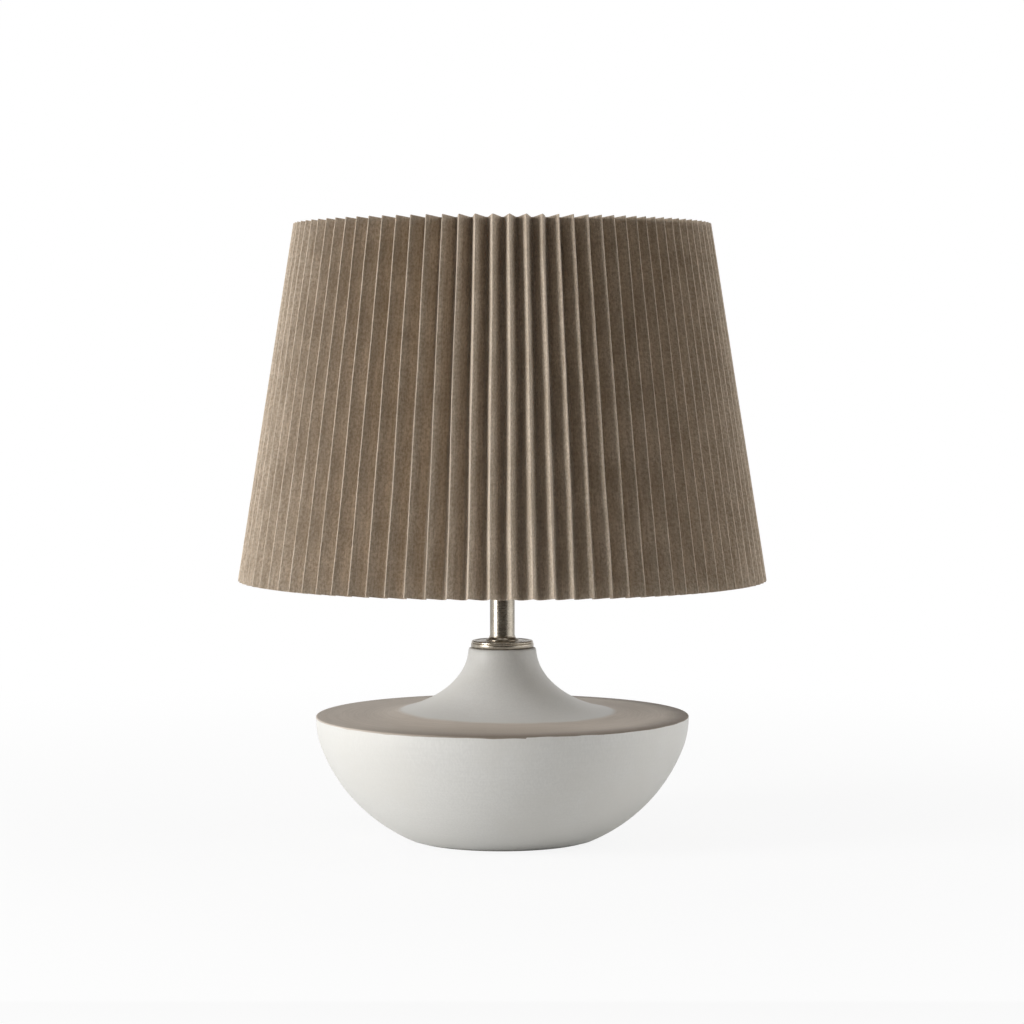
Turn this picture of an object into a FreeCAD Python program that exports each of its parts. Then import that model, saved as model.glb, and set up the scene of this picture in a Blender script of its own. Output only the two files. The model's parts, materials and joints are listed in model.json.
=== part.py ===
import FreeCAD, Part
import math
import os

# Table lamp: a two-tone ceramic bowl base, a metal neck, a harp that carries
# the shade, and a fluted cover of pleated paper.
# Millimetres, +Z up, origin on the table under the lamp's axis, front at -Y.

V = FreeCAD.Vector
UP = V(0, 0, 1)
os.makedirs("parts", exist_ok=True)

# ---------------------------------------------------------------- fits
pipe_fit = 0.10            # round the lamp pipe, in every hole it passes
turn_fit = 0.06            # round a shaft that turns
rest_gap = 0.05            # under a piece that lifts off its seat
soft_gap = 0.10            # between paper and the wire it is glued to

# ---------------------------------------------------------------- ceramic base
felt_thickness = 1.2
felt_radius = 69.4
bowl_foot_radius = 73.5    # where the side starts, above the felt
bowl_radius = 126.0        # large curve of the bowl's side
shoulder_start = 70.0      # height where a tighter curve takes over
shoulder_start_radius = 138.9
shoulder_radius = 65.0     # tighter curve that brings the side upright
disc_height = 96.0         # flat top of the bowl
rim_round = 1.5
flare_end_radius = 108.0   # where the neck's flare runs out on the disc
neck_radius = 26.0
neck_height = 147.0
neck_round = 1.5
wall = 6.0                 # fired wall, all round
recess_radius = 55.0       # hollow under the foot
recess_height = 16.0
pipe_hole_radius = 5.6
foot_web = 6.8             # bottom of the hollow foot ring, above the felt

# ---------------------------------------------------------------- cable inlet
inlet_height = 9.2
inlet_bore_radius = 4.0
inlet_sleeve_radius = 5.0
inlet_flange_radius = 6.5
inlet_flange_thickness = 1.5
inlet_fit = 0.05
inlet_boss_wall = 3.4
inlet_lip = 1.2            # how far the sleeve stands out of the bowl

# ---------------------------------------------------------------- pipe and its nut
pipe_radius = 4.8
pipe_bore_radius = 3.2
pipe_foot = 4.6            # height of its lower end
washer_radius = 18.0
washer_thickness = 2.0
lock_washer_radius = 8.6
lock_washer_thickness = 1.2
nut_flats = 16.0
nut_height = 5.0

# ---------------------------------------------------------------- metal neck
cap_radius = 24.1
cap_bead = 3.5             # height of the rolled edge
cap_height = 6.0
cap_crown_radius = 12.0
cap_sheet = 1.0
check_radius = 10.7
check_height = 3.2
check_spigot = 3.0
tube_radius = 9.5
tube_wall = 1.0
tube_length = 43.8

# ---------------------------------------------------------------- harp saddle
strap_thickness = 1.6
strap_width = 12.0
strap_eye_radius = 9.5
leg_offset = 28.5          # ferrule axis, out from the lamp's axis
tab_width = 5.0
tab_shoulder_width = 9.0
tab_shoulder_height = 6.0
tab_height = 16.0

# ---------------------------------------------------------------- harp
harp_height = 249.4        # strap to the top wire's centre
harp_half_width = 57.0
harp_wire_radius = 1.6
harp_leg_straight = 36.0   # strap to the start of the bow
harp_bow_radius = 60.0
harp_corner_radius = 45.0
harp_eye_radius = 4.8
harp_eye_thickness = 2.4
leg_lap_gap = 0.05         # between the leg's flat and the saddle's tab

# ---------------------------------------------------------------- ferrules
ferrule_bore_radius = 3.1
ferrule_wall = 1.0
ferrule_length = 13.5
ferrule_lip = 1.6
ferrule_wire_fit = 0.15

# ---------------------------------------------------------------- swivel and finial
shank_radius = 2.0
rivet_radius = 3.6
rivet_height = 1.6
shoulder_plate_radius = 9.5
shoulder_plate_thickness = 1.9
stud_radius = 3.17
stud_length = 13.0
finial_thread_fit = 0.05
finial_collar_radius = 8.0
finial_collar_height = 3.0
finial_neck_radius = 5.0
finial_ball_radius = 8.4
finial_height = 20.6

# ---------------------------------------------------------------- socket
hub_radius = 7.5
hub_height = 6.6
socket_cap_radius = 16.9
socket_cap_sheet = 0.9
socket_cap_height = 21.4
socket_cone_height = 12.6
shell_radius = 15.8
shell_sheet = 0.6
shell_length = 49.4
shell_bead = 0.5
shell_lift = 0.6           # shell above the bottom of the cap's cup
liner_thickness = 0.9
liner_gap = 0.15
liner_step = 0.3           # liner above the shell's lower edge
liner_set_back = 1.2       # liner below the shell's top edge
set_screw_radius = 1.5
set_screw_length = 4.0
block_radius = 13.8        # moulded insulator
block_boss_radius = 8.0
block_height = 26.0
block_core_radius = 3.0
screw_shell_bore = 13.25
screw_shell_sheet = 0.4
screw_shell_length = 24.0
contact_radius = 4.0
contact_thickness = 1.0
terminal_out = 11.0        # flat on the insulator behind each terminal
terminal_radius = 2.8
terminal_head = 1.8

# ---------------------------------------------------------------- turn knob
knob_height = 20.0         # its axis, above the insulator's underside
shaft_radius = 2.0
shaft_depth = 8.0          # into the insulator
knob_radius = 6.3
knob_length = 17.0
knob_gap = 2.6             # from the socket shell
knob_flutes = 14
knob_flute_radius = 0.8
knob_round = 1.2
slot_half_width = 2.6

# ---------------------------------------------------------------- bulb
bulb_height = 107.5
bulb_radius = 30.0
bulb_neck_radius = 13.4
bulb_stem_radius = 12.3
bulb_glass = 1.0
bulb_cap_fit = 0.20
bulb_cap_sheet = 0.5
bulb_cap_length = 22.4
bulb_base_height = 4.6     # glass insulator under the screw cap
bulb_tip_radius = 4.6
bulb_tip_height = 1.2
bulb_neck_above_cap = 2.0

# ---------------------------------------------------------------- shade
pleat_count = 88
shade_bottom_radius = 203.0    # over the crests
shade_top_radius = 159.8
shade_height = 272.2
fitter_drop = 19.4             # washer below the crests at the top
pleat_depth_bottom = 10.5      # square to the paper's slope
pleat_depth_top = 11.6
paper_thickness = 0.5
flank_angle = 16.0             # each flank's angle off the radius, in degrees
valley_flats = 3               # flats that make half a valley's round bottom
ring_wire_radius = 1.5
top_ring_inset = 6.0           # ring centre below the crests at the top
bottom_ring_inset = 4.4        # ring centre above the crests at the bottom
fitter_radius = 12.5
fitter_bore_radius = 3.6
fitter_thickness = 1.6
arm_count = 3
arm_wire_radius = 1.5
arm_bend_radius = 12.0
arm_rise_run = 22.0            # length over which each arm climbs to the ring

# ================================================================ derived places
shade_lean = math.atan2(shade_bottom_radius - shade_top_radius, shade_height)
pleat_angle = 2.0 * math.pi / pleat_count

side_rise = shoulder_start - felt_thickness
side_run = shoulder_start_radius - bowl_foot_radius
side_chord = math.hypot(side_rise, side_run)
side_offset = math.sqrt(bowl_radius ** 2 - 0.25 * side_chord ** 2)
bowl_centre_out = (0.5 * (bowl_foot_radius + shoulder_start_radius)
                   - side_offset * side_rise / side_chord)
bowl_centre_up = (0.5 * (felt_thickness + shoulder_start)
                  + side_offset * side_run / side_chord)
shoulder_turn = math.asin((shoulder_start - bowl_centre_up) / bowl_radius)
shoulder_centre_out = bowl_centre_out + (bowl_radius - shoulder_radius) * math.cos(shoulder_turn)
shoulder_centre_up = bowl_centre_up + (bowl_radius - shoulder_radius) * math.sin(shoulder_turn)

cap_base = neck_height
check_base = cap_base + cap_height
tube_base = check_base + check_height
strap_base = tube_base + tube_length
strap_top = strap_base + strap_thickness

tab_middle = leg_offset + 0.5 * leg_lap_gap + 0.5 * strap_thickness
leg_middle = leg_offset - 0.5 * leg_lap_gap - 0.5 * strap_thickness
leg_wire_out = leg_offset - 0.5 * leg_lap_gap
shoulder_top = strap_base + tab_shoulder_height
tab_top = strap_base + tab_height

harp_top = strap_base + harp_height
eye_bottom = harp_top - 0.5 * harp_eye_thickness
eye_top = harp_top + 0.5 * harp_eye_thickness
plate_bottom = eye_top + rest_gap
plate_top = plate_bottom + shoulder_plate_thickness
stud_top = plate_top + stud_length
fitter_base = plate_top + rest_gap
fitter_top = fitter_base + fitter_thickness
finial_base = fitter_top + rest_gap

shade_top = fitter_base + fitter_drop
shade_bottom = shade_top - shade_height

socket_base = strap_top
pipe_top = socket_base + hub_height
block_foot = pipe_top
block_seat = socket_base + socket_cone_height
block_top = block_foot + block_height
shell_base = block_seat + shell_lift
shell_top = shell_base + shell_length
liner_outer = shell_radius - shell_sheet - liner_gap
liner_inner = liner_outer - liner_thickness
contact_top = block_top + contact_thickness
knob_axis = block_foot + knob_height
bulb_foot = contact_top + rest_gap
bulb_cap_base = bulb_foot + bulb_tip_height + bulb_base_height
bulb_cap_top = bulb_cap_base + bulb_cap_length
bulb_cap_radius = screw_shell_bore - bulb_cap_fit
bulb_top = bulb_foot + bulb_height


# ================================================================ helpers
def turned(start, *steps):
    """Revolve a closed half profile. A step is (r, z), (mid r, mid z, r, z) or (edge, r, z)."""
    first = V(start[0], 0, start[1])
    here = first
    edges = []
    for step in steps:
        there = V(step[-2], 0, step[-1])
        if len(step) == 4:
            edges.append(Part.Arc(here, V(step[0], 0, step[1]), there).toShape())
        elif len(step) == 3:
            edges.append(step[0])
        else:
            edges.append(Part.LineSegment(here, there).toShape())
        here = there
    if here.distanceToPoint(first) > 1e-6:
        edges.append(Part.LineSegment(here, first).toShape())
    return Part.Face(Part.Wire(edges)).revolve(V(0, 0, 0), UP, 360)


def disc(radius, base, height, bore=0.0):
    """Flat cylinder on the lamp's axis, with an optional hole."""
    body = Part.makeCylinder(radius, height, V(0, 0, base), UP)
    if bore > 0.0:
        body = body.cut(Part.makeCylinder(bore, height + 2.0, V(0, 0, base - 1.0), UP))
    return body


def box(x0, x1, y0, y1, z0, z1):
    return Part.makeBox(x1 - x0, y1 - y0, z1 - z0, V(x0, y0, z0))


def mirrored(shape):
    """The same piece on the other side of the lamp."""
    return shape.mirror(V(0, 0, 0), V(1, 0, 0))


# ================================================================ ceramic base
def bowl_side(inset, low, high):
    """Start point and arcs of the bowl's side, inset from the outside, from low to high."""
    big = bowl_radius - inset
    small = shoulder_radius - inset

    def on_bowl(angle):
        return (bowl_centre_out + big * math.cos(angle), bowl_centre_up + big * math.sin(angle))

    def on_shoulder(angle):
        return (shoulder_centre_out + small * math.cos(angle),
                shoulder_centre_up + small * math.sin(angle))

    first = math.asin((low - bowl_centre_up) / big)
    last = math.asin((high - shoulder_centre_up) / small)
    bowl_arc = on_bowl(0.5 * (first + shoulder_turn)) + on_bowl(shoulder_turn)
    shoulder_arc = on_shoulder(0.5 * (shoulder_turn + last)) + on_shoulder(last)
    return on_bowl(first), bowl_arc, shoulder_arc


def flare_edge(inset, top):
    """Quarter ellipse from the neck out to the disc, cut off level at top."""
    across = flare_end_radius - neck_radius + inset
    tall = neck_height - disc_height + inset
    centre = V(flare_end_radius, 0, neck_height)
    curve = Part.Ellipse(centre - V(across, 0, 0), centre - V(0, 0, tall), centre)
    start = math.asin((neck_height - top) / tall)
    edge = Part.ArcOfEllipse(curve, start, 0.5 * math.pi).toShape()
    return edge, flare_end_radius - across * math.cos(start)


def outer_form(extra):
    """The base as a filled solid, grown outward by extra."""
    foot, bowl_arc, shoulder_arc = bowl_side(-extra, felt_thickness, disc_height - rim_round)
    rim = shoulder_arc[-2] - rim_round
    bend = rim_round * math.sqrt(0.5)
    flare, neck_edge = flare_edge(-extra, neck_height - neck_round)
    crown = neck_round * (1.0 - math.sqrt(0.5))
    return turned(
        (0.0, felt_thickness),
        foot,
        bowl_arc,
        shoulder_arc,
        (rim + bend, disc_height - rim_round + bend + extra, rim, disc_height + extra),
        (flare_end_radius, disc_height + extra),
        (flare, neck_edge, neck_height - neck_round),
        (neck_edge - crown, neck_height - crown, neck_edge - neck_round, neck_height),
        (0.0, neck_height),
    )


def hollow_form():
    """The space inside the fired walls, shaped round the recess under the foot."""
    trough = felt_thickness + foot_web
    low, bowl_arc, shoulder_arc = bowl_side(wall, trough, disc_height - wall)
    flare, throat = flare_edge(wall, neck_height - wall)
    return turned(
        (0.0, recess_height + wall),
        (recess_radius + wall, recess_height + wall),
        (recess_radius + wall, trough),
        low,
        bowl_arc,
        shoulder_arc,
        (flare_end_radius, disc_height - wall),
        (flare, throat, neck_height - wall),
        (0.0, neck_height - wall),
    )


def inlet_rod(radius, near, far):
    """Cylinder on the cable inlet's axis, from near to far behind the lamp."""
    return Part.makeCylinder(radius, far - near, V(0, near, inlet_height), V(0, 1, 0))


def ceramic_body():
    whole = outer_form(0.0)
    body = whole.cut(hollow_form())
    boss_radius = inlet_sleeve_radius + inlet_fit + inlet_boss_wall
    boss = inlet_rod(boss_radius, recess_radius + 1.0, bowl_radius).common(whole)
    body = body.fuse(boss)
    body = body.cut(disc(recess_radius, 0.0, recess_height))
    body = body.cut(disc(pipe_hole_radius, 0.0, neck_height + 1.0))
    body = body.cut(inlet_rod(inlet_sleeve_radius + inlet_fit, recess_radius - 6.0, bowl_radius))
    return body


def cord_bushing():
    """Flanged sleeve, put in from the recess and trimmed to stand a little proud outside."""
    flange_start = recess_radius - 2.0 * inlet_flange_thickness
    flange = inlet_rod(inlet_flange_radius, flange_start, recess_radius + 2.0)
    flange = flange.common(disc(recess_radius, 0.0, recess_height))
    sleeve = inlet_rod(inlet_sleeve_radius, flange_start, bowl_radius)
    sleeve = sleeve.common(outer_form(inlet_lip))
    bore = inlet_rod(inlet_bore_radius, flange_start - 5.0, bowl_radius + 5.0)
    return flange.fuse(sleeve).cut(bore).removeSplitter()


# ================================================================ pipe and neck
def bottom_nut():
    top = recess_height - washer_thickness - lock_washer_thickness
    corner = nut_flats / math.sqrt(3.0)
    points = []
    for k in range(7):
        turn = math.radians(60.0 * k)
        points.append(V(corner * math.cos(turn), corner * math.sin(turn), top - nut_height))
    nut = Part.Face(Part.makePolygon(points)).extrude(V(0, 0, nut_height))
    rounding = turned(
        (0.0, top - nut_height),
        (0.5 * nut_flats, top - nut_height),
        (corner + 0.01, top - nut_height + 0.9),
        (corner + 0.01, top),
        (0.0, top),
    )
    nut = nut.common(rounding)
    return nut.cut(Part.makeCylinder(pipe_radius + pipe_fit, 40.0, V(0, 0, top - 30.0), UP))


def lock_washer():
    """Split spring washer."""
    top = recess_height - washer_thickness
    ring = disc(lock_washer_radius, top - lock_washer_thickness, lock_washer_thickness,
                pipe_radius + pipe_fit)
    split = box(0.0, lock_washer_radius + 1.0, -0.4, 0.4, top - 2.0 * lock_washer_thickness, top + 1.0)
    return ring.cut(split)


def vase_cap():
    """Spun cover for the top of the ceramic neck, with a rolled edge."""
    bead = 0.5 * cap_bead
    top = cap_base + cap_height
    inner = cap_radius - cap_bead
    hole = pipe_radius + pipe_fit
    return turned(
        (inner, cap_base),
        (cap_radius - bead, cap_base),
        (cap_radius, cap_base + bead, cap_radius - bead, cap_base + cap_bead),
        (0.55 * cap_radius + 0.45 * cap_crown_radius, top - 0.9, cap_crown_radius, top),
        (hole, top),
        (hole, top - cap_sheet),
        (cap_crown_radius, top - cap_sheet),
        (inner, cap_base + cap_bead - cap_sheet),
    )


def check_ring():
    """Turned collar under the tube, with a spigot that centres it."""
    edge = 0.8
    top = check_base + check_height
    spigot = tube_radius - tube_wall - pipe_fit
    return turned(
        (pipe_radius + pipe_fit, check_base),
        (check_radius - edge, check_base),
        (check_radius - 0.3 * edge, check_base + 0.3 * edge, check_radius, check_base + edge),
        (check_radius, top - edge),
        (check_radius - 0.3 * edge, top - 0.3 * edge, check_radius - edge, top),
        (spigot, top),
        (spigot, top + check_spigot),
        (pipe_radius + pipe_fit, top + check_spigot),
    )


def neck_tube():
    """Tube with its top end turned in to a seat for the saddle."""
    web = 1.2 * tube_wall
    turn = 0.8
    inner = tube_radius - tube_wall
    return turned(
        (inner, tube_base),
        (tube_radius, tube_base),
        (tube_radius, strap_base - turn),
        (tube_radius - 0.3 * turn, strap_base - 0.3 * turn, tube_radius - turn, strap_base),
        (pipe_radius + pipe_fit, strap_base),
        (pipe_radius + pipe_fit, strap_base - web),
        (inner, strap_base - web),
    )


# ================================================================ harp
def harp_saddle():
    """Bent strap with an upright tab at each end."""
    outer = tab_middle + 0.5 * strap_thickness
    inner = outer - strap_thickness
    strap = box(-outer, outer, -0.5 * strap_width, 0.5 * strap_width, strap_base, strap_top)
    strap = strap.fuse(disc(strap_eye_radius, strap_base, strap_thickness))
    for side in (1, -1):
        low, high = sorted((side * inner, side * outer))
        shoulder = 0.5 * tab_shoulder_width
        strap = strap.fuse(box(low, high, -shoulder, shoulder, strap_base, shoulder_top))
        strap = strap.fuse(box(low, high, -0.5 * tab_width, 0.5 * tab_width, strap_base, tab_top))
    strap = strap.removeSplitter()
    bends = []
    for edge in strap.Edges:
        box_of = edge.BoundBox
        at_end = abs(abs(box_of.XMin) - outer) < 1e-6 and box_of.XLength < 1e-6
        if at_end and abs(box_of.ZMax - strap_base) < 1e-6:
            bends.append(edge)
    strap = strap.makeFillet(0.9 * strap_thickness, bends)
    tip_edges = []
    for edge in strap.Edges:
        box_of = edge.BoundBox
        along = abs(box_of.XLength - strap_thickness) < 1e-6
        if along and abs(box_of.ZMin - tab_top) < 1e-6 and box_of.YLength < 1e-6:
            tip_edges.append(edge)
    strap = strap.makeFillet(0.3 * tab_width, tip_edges)
    return strap.cut(disc(pipe_radius + pipe_fit, strap_base - 1.0, strap_thickness + 2.0))


def arc_points(centre, radius, first, last):
    """Start, middle and end of an arc in the XZ plane, angles in degrees."""
    points = []
    for angle in (first, 0.5 * (first + last), last):
        turn = math.radians(angle)
        points.append(V(centre[0] + radius * math.cos(turn), 0, centre[1] + radius * math.sin(turn)))
    return points


def harp_path():
    """Centre line of the harp's wire, from one saddle tab over the top to the other."""
    spread = 0.5 * (harp_half_width - leg_wire_out)
    swing = math.degrees(math.acos(1.0 - spread / harp_bow_radius))
    reach = 2.0 * harp_bow_radius * math.sin(math.radians(swing))
    bow = strap_base + harp_leg_straight
    corner = harp_top - harp_corner_radius
    outward = arc_points((leg_wire_out + harp_bow_radius, bow), harp_bow_radius, 180.0, 180.0 - swing)
    upright = arc_points((harp_half_width - harp_bow_radius, bow + reach), harp_bow_radius, -swing, 0.0)
    over = arc_points((harp_half_width - harp_corner_radius, corner), harp_corner_radius, 0.0, 90.0)
    half = [V(leg_wire_out, 0, tab_top + 0.3)]
    edges = [Part.LineSegment(half[0], outward[0]).toShape()]
    edges.append(Part.Arc(*outward).toShape())
    edges.append(Part.Arc(outward[2], upright[1], upright[2]).toShape())
    edges.append(Part.LineSegment(upright[2], over[0]).toShape())
    edges.append(Part.Arc(*over).toShape())
    edges.append(Part.LineSegment(over[2], V(0, 0, harp_top)).toShape())
    other = [mirrored(edge) for edge in reversed(edges)]
    return Part.Wire(edges + other)


def harp_bow():
    """Bent wire with flattened feet and a flattened eye at the top."""
    start = V(leg_wire_out, 0, tab_top + 0.3)
    section = Part.Wire(Part.Circle(start, UP, harp_wire_radius).toShape())
    bow = harp_path().makePipeShell([section], True, False)
    low = leg_middle - 0.5 * strap_thickness
    high = leg_middle + 0.5 * strap_thickness
    foot = box(low, high, -0.5 * tab_width, 0.5 * tab_width, strap_top + rest_gap, tab_top + 1.4)
    for shape in (foot, mirrored(foot)):
        bow = bow.fuse(shape)
    bow = bow.fuse(disc(harp_eye_radius, eye_bottom, harp_eye_thickness))
    flat = 2.0 * harp_wire_radius
    under = harp_eye_radius
    over = shoulder_plate_radius + 1.0
    bow = bow.cut(box(-under, under, -under, under, eye_bottom - flat, eye_bottom))
    bow = bow.cut(box(-over, over, -under, under, eye_top, eye_top + flat))
    return bow.cut(disc(shank_radius + turn_fit, eye_bottom - 3.0, harp_eye_thickness + 6.0))


def ferrule():
    """Sleeve that locks one leg of the harp to its tab, with a lip that rides on the wire."""
    base = shoulder_top + rest_gap
    top = base + ferrule_length
    outer = ferrule_bore_radius + ferrule_wall
    lip = harp_wire_radius + ferrule_wire_fit
    sleeve = turned(
        (ferrule_bore_radius, base),
        (outer, base),
        (outer, top - ferrule_wall),
        (outer - 0.3 * ferrule_wall, top - 0.3 * ferrule_wall, outer - ferrule_wall, top),
        (lip, top),
        (lip, top - ferrule_lip),
        (ferrule_bore_radius, top - ferrule_lip),
    )
    return sleeve.translated(V(leg_offset, 0, 0))


def swivel_stud():
    """Riveted swivel: head, shank, shoulder plate and threaded stud in one."""
    head_top = eye_bottom - rest_gap
    chamfer = 0.6
    return turned(
        (0.0, head_top - rivet_height),
        (0.5 * rivet_radius, head_top - rivet_height),
        (0.9 * rivet_radius, head_top - 0.6 * rivet_height, rivet_radius, head_top),
        (shank_radius, head_top),
        (shank_radius, plate_bottom),
        (shoulder_plate_radius, plate_bottom),
        (shoulder_plate_radius, plate_top),
        (stud_radius, plate_top),
        (stud_radius, stud_top - chamfer),
        (stud_radius - chamfer, stud_top),
        (0.0, stud_top),
    )


def finial():
    """Ball finial with a blind bore that screws down on the stud."""
    bore = stud_radius + finial_thread_fit
    collar = finial_base + finial_collar_height
    top = finial_base + finial_height
    centre = top - finial_ball_radius
    below = math.sqrt(finial_ball_radius ** 2 - finial_neck_radius ** 2)
    bore_top = stud_top + 1.5
    return turned(
        (bore, finial_base),
        (finial_collar_radius - 0.6, finial_base),
        (finial_collar_radius, finial_base + 0.6),
        (finial_collar_radius, collar - 0.6),
        (finial_collar_radius - 0.6, collar),
        (finial_neck_radius, collar),
        (finial_neck_radius, centre - below),
        (finial_ball_radius, centre, 0.0, top),
        (0.0, bore_top),
        (bore, bore_top),
    )


# ================================================================ socket
def socket_cap():
    """Spun cup on a threaded hub, with the hub's set screw hole."""
    sheet = socket_cap_sheet
    hole = pipe_radius + pipe_fit
    top = socket_base + socket_cap_height
    cone = socket_base + socket_cone_height
    cup = turned(
        (hole, socket_base),
        (hub_radius, socket_base),
        (hub_radius, pipe_top - sheet),
        (hub_radius + 1.0, pipe_top - sheet),
        (socket_cap_radius, cone),
        (socket_cap_radius, top),
        (socket_cap_radius - sheet, top),
        (socket_cap_radius - sheet, cone + 0.4),
        (block_boss_radius + 0.4, pipe_top),
        (hole, pipe_top),
    )
    height = socket_base + 0.5 * (hub_height - sheet)
    return cup.cut(Part.makeCylinder(set_screw_radius, 20.0, V(0, 0, height), V(0, 1, 0)))


def socket_set_screw():
    height = socket_base + 0.5 * (hub_height - socket_cap_sheet)
    start = pipe_radius + 0.02
    body = Part.makeCylinder(set_screw_radius, set_screw_length, V(0, start, height), V(0, 1, 0))
    end = start + set_screw_length
    slot = box(-0.3, 0.3, end - 0.7, end + 1.0, height - 3.0, height + 3.0)
    return body.cut(slot)


def side_slot(body, base):
    """Cut the open slot that lets a sleeve drop over the knob's shaft."""
    slot = box(-slot_half_width, slot_half_width, -socket_cap_radius - 2.0, 0.0, base - 1.0, knob_axis)
    round_end = Part.makeCylinder(slot_half_width, socket_cap_radius + 2.0, V(0, 0, knob_axis),
                                  V(0, -1, 0))
    return body.cut(slot).cut(round_end)


def socket_shell():
    """Thin outer shell with a rolled top edge."""
    inner = shell_radius - shell_sheet
    bead = shell_radius + shell_bead
    shell = turned(
        (inner, shell_base),
        (shell_radius, shell_base),
        (shell_radius, shell_top - 3.0),
        (bead, shell_top - 2.5),
        (bead, shell_top - 0.5),
        (shell_radius, shell_top),
        (inner, shell_top),
    )
    return side_slot(shell, shell_base)


def socket_liner():
    """Card sleeve that keeps the shell off the live parts."""
    base = shell_base + liner_step
    sleeve = disc(liner_outer, base, shell_length - liner_step - liner_set_back, liner_inner)
    return side_slot(sleeve, base)


def socket_insulator():
    """Moulded block on a foot, bored for the shaft and flattened behind the terminals."""
    block = turned(
        (0.0, block_foot),
        (block_boss_radius, block_foot),
        (block_boss_radius, block_seat + 2.0),
        (block_radius, block_seat + 2.0),
        (block_radius, block_top),
        (0.0, block_top),
    )
    block = block.cut(disc(block_core_radius, block_foot - 1.0, 8.0))
    for low, high in ((-block_radius - 1.0, -terminal_out), (terminal_out, block_radius + 1.0)):
        span = 2.0 * terminal_radius
        block = block.cut(box(low, high, -span, span, block_seat, block_top - 3.0))
    shaft = Part.makeCylinder(shaft_radius + turn_fit, 2.0 * block_radius,
                              V(0, shaft_depth - block_radius + 0.3, knob_axis), V(0, -1, 0))
    return block.cut(shaft)


def terminal_screws():
    """Two binding screws on the sides of the insulator."""
    height = block_seat + 0.5 * (block_top - block_seat) - 1.0
    screws = []
    for side in (1, -1):
        head = Part.makeCylinder(terminal_radius, terminal_head, V(side * terminal_out, 0, height),
                                 V(side, 0, 0))
        low, high = sorted((side * (terminal_out + terminal_head - 0.6), side * (terminal_out + 5.0)))
        screws.append(head.cut(box(low, high, -0.4, 0.4, height - 5.0, height + 5.0)))
    return Part.makeCompound(screws)


def centre_contact():
    """Spring tongue at the bottom of the screw shell."""
    edge = 0.4 * contact_thickness
    return turned(
        (0.0, block_top),
        (contact_radius, block_top),
        (contact_radius, block_top + edge),
        (0.6 * contact_radius, contact_top),
        (0.0, contact_top),
    )


# ================================================================ turn knob
def switch_shaft():
    start = V(0, shaft_depth - block_radius, knob_axis)
    reach = shell_radius + knob_gap + 0.8 * knob_length - (block_radius - shaft_depth)
    return Part.makeCylinder(shaft_radius, reach, start, V(0, -1, 0))


def switch_knob():
    """Fluted knob with a rounded face, drilled for its shaft."""
    outline = Part.Face(Part.Wire(Part.Circle(V(0, 0, 0), UP, knob_radius).toShape()))
    for k in range(knob_flutes):
        turn = 2.0 * math.pi * (k + 0.5) / knob_flutes
        middle = V(knob_radius * math.cos(turn), knob_radius * math.sin(turn), 0)
        flute = Part.Face(Part.Wire(Part.Circle(middle, UP, knob_flute_radius).toShape()))
        outline = outline.cut(flute)
    knob = outline.extrude(V(0, 0, knob_length))
    collar = knob_radius - knob_flute_radius
    middle = 0.7 * knob_round
    form = turned(
        (0.0, 0.0),
        (collar, 0.0),
        (knob_radius + 0.1, 2.0),
        (knob_radius + 0.1, knob_length - knob_round),
        (collar + middle, knob_length - knob_round + middle, collar, knob_length),
        (0.0, knob_length),
    )
    knob = knob.common(form)
    knob = knob.cut(Part.makeCylinder(shaft_radius, 0.8 * knob_length, V(0, 0, 0), UP))
    knob.rotate(V(0, 0, 0), V(1, 0, 0), 90.0)
    return knob.translated(V(0, -shell_radius - knob_gap, knob_axis))


# ================================================================ bulb
def bulb_curve(inset):
    """Points of the glass from the neck to the pole, inset from the outside."""
    centre = bulb_top - bulb_radius
    neck = bulb_cap_top + bulb_neck_above_cap
    drop = centre - neck
    half = bulb_radius - bulb_neck_radius
    curve = (drop * drop / half - bulb_radius - bulb_neck_radius) / 2.0
    away = math.atan2(drop, bulb_neck_radius + curve)
    ball = bulb_radius - inset
    hollow = curve + inset
    hub = (bulb_neck_radius + curve, neck)

    def on_ball(angle):
        return (ball * math.cos(angle), centre + ball * math.sin(angle))

    def on_hollow(angle):
        return (hub[0] + hollow * math.cos(angle), hub[1] + hollow * math.sin(angle))

    start = on_hollow(math.pi)
    meet = math.pi - away
    sweep = on_hollow(0.5 * (math.pi + meet)) + on_hollow(meet)
    round_off = on_ball(0.5 * (-away + 0.5 * math.pi)) + (0.0, centre + ball)
    return start, sweep, round_off


def bulb_glass_shape():
    """Blown glass with a narrow stem that sits in the screw cap."""
    start, sweep, round_off = bulb_curve(0.0)
    inner_start, inner_sweep, inner_round = bulb_curve(bulb_glass)
    shoulder = bulb_cap_top + 0.1
    stem = bulb_cap_top - 5.0
    outer = turned(
        (0.0, stem),
        (bulb_stem_radius, stem),
        (bulb_stem_radius, shoulder),
        (bulb_neck_radius, shoulder),
        start,
        sweep,
        round_off,
    )
    inner = turned(
        (0.0, stem + bulb_glass),
        (bulb_stem_radius - bulb_glass, stem + bulb_glass),
        (bulb_stem_radius - bulb_glass, inner_start[1]),
        inner_start,
        inner_sweep,
        inner_round,
    )
    return outer.cut(inner)


def bulb_screw_cap():
    inner = bulb_cap_radius - bulb_cap_sheet
    return turned(
        (0.8 * inner, bulb_cap_base),
        (inner, bulb_cap_base),
        (bulb_cap_radius, bulb_cap_base + 1.5),
        (bulb_cap_radius, bulb_cap_top),
        (inner, bulb_cap_top),
        (inner, bulb_cap_base + 2.0),
        (0.8 * inner, bulb_cap_base + 2.0 * bulb_cap_sheet),
    )


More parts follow.
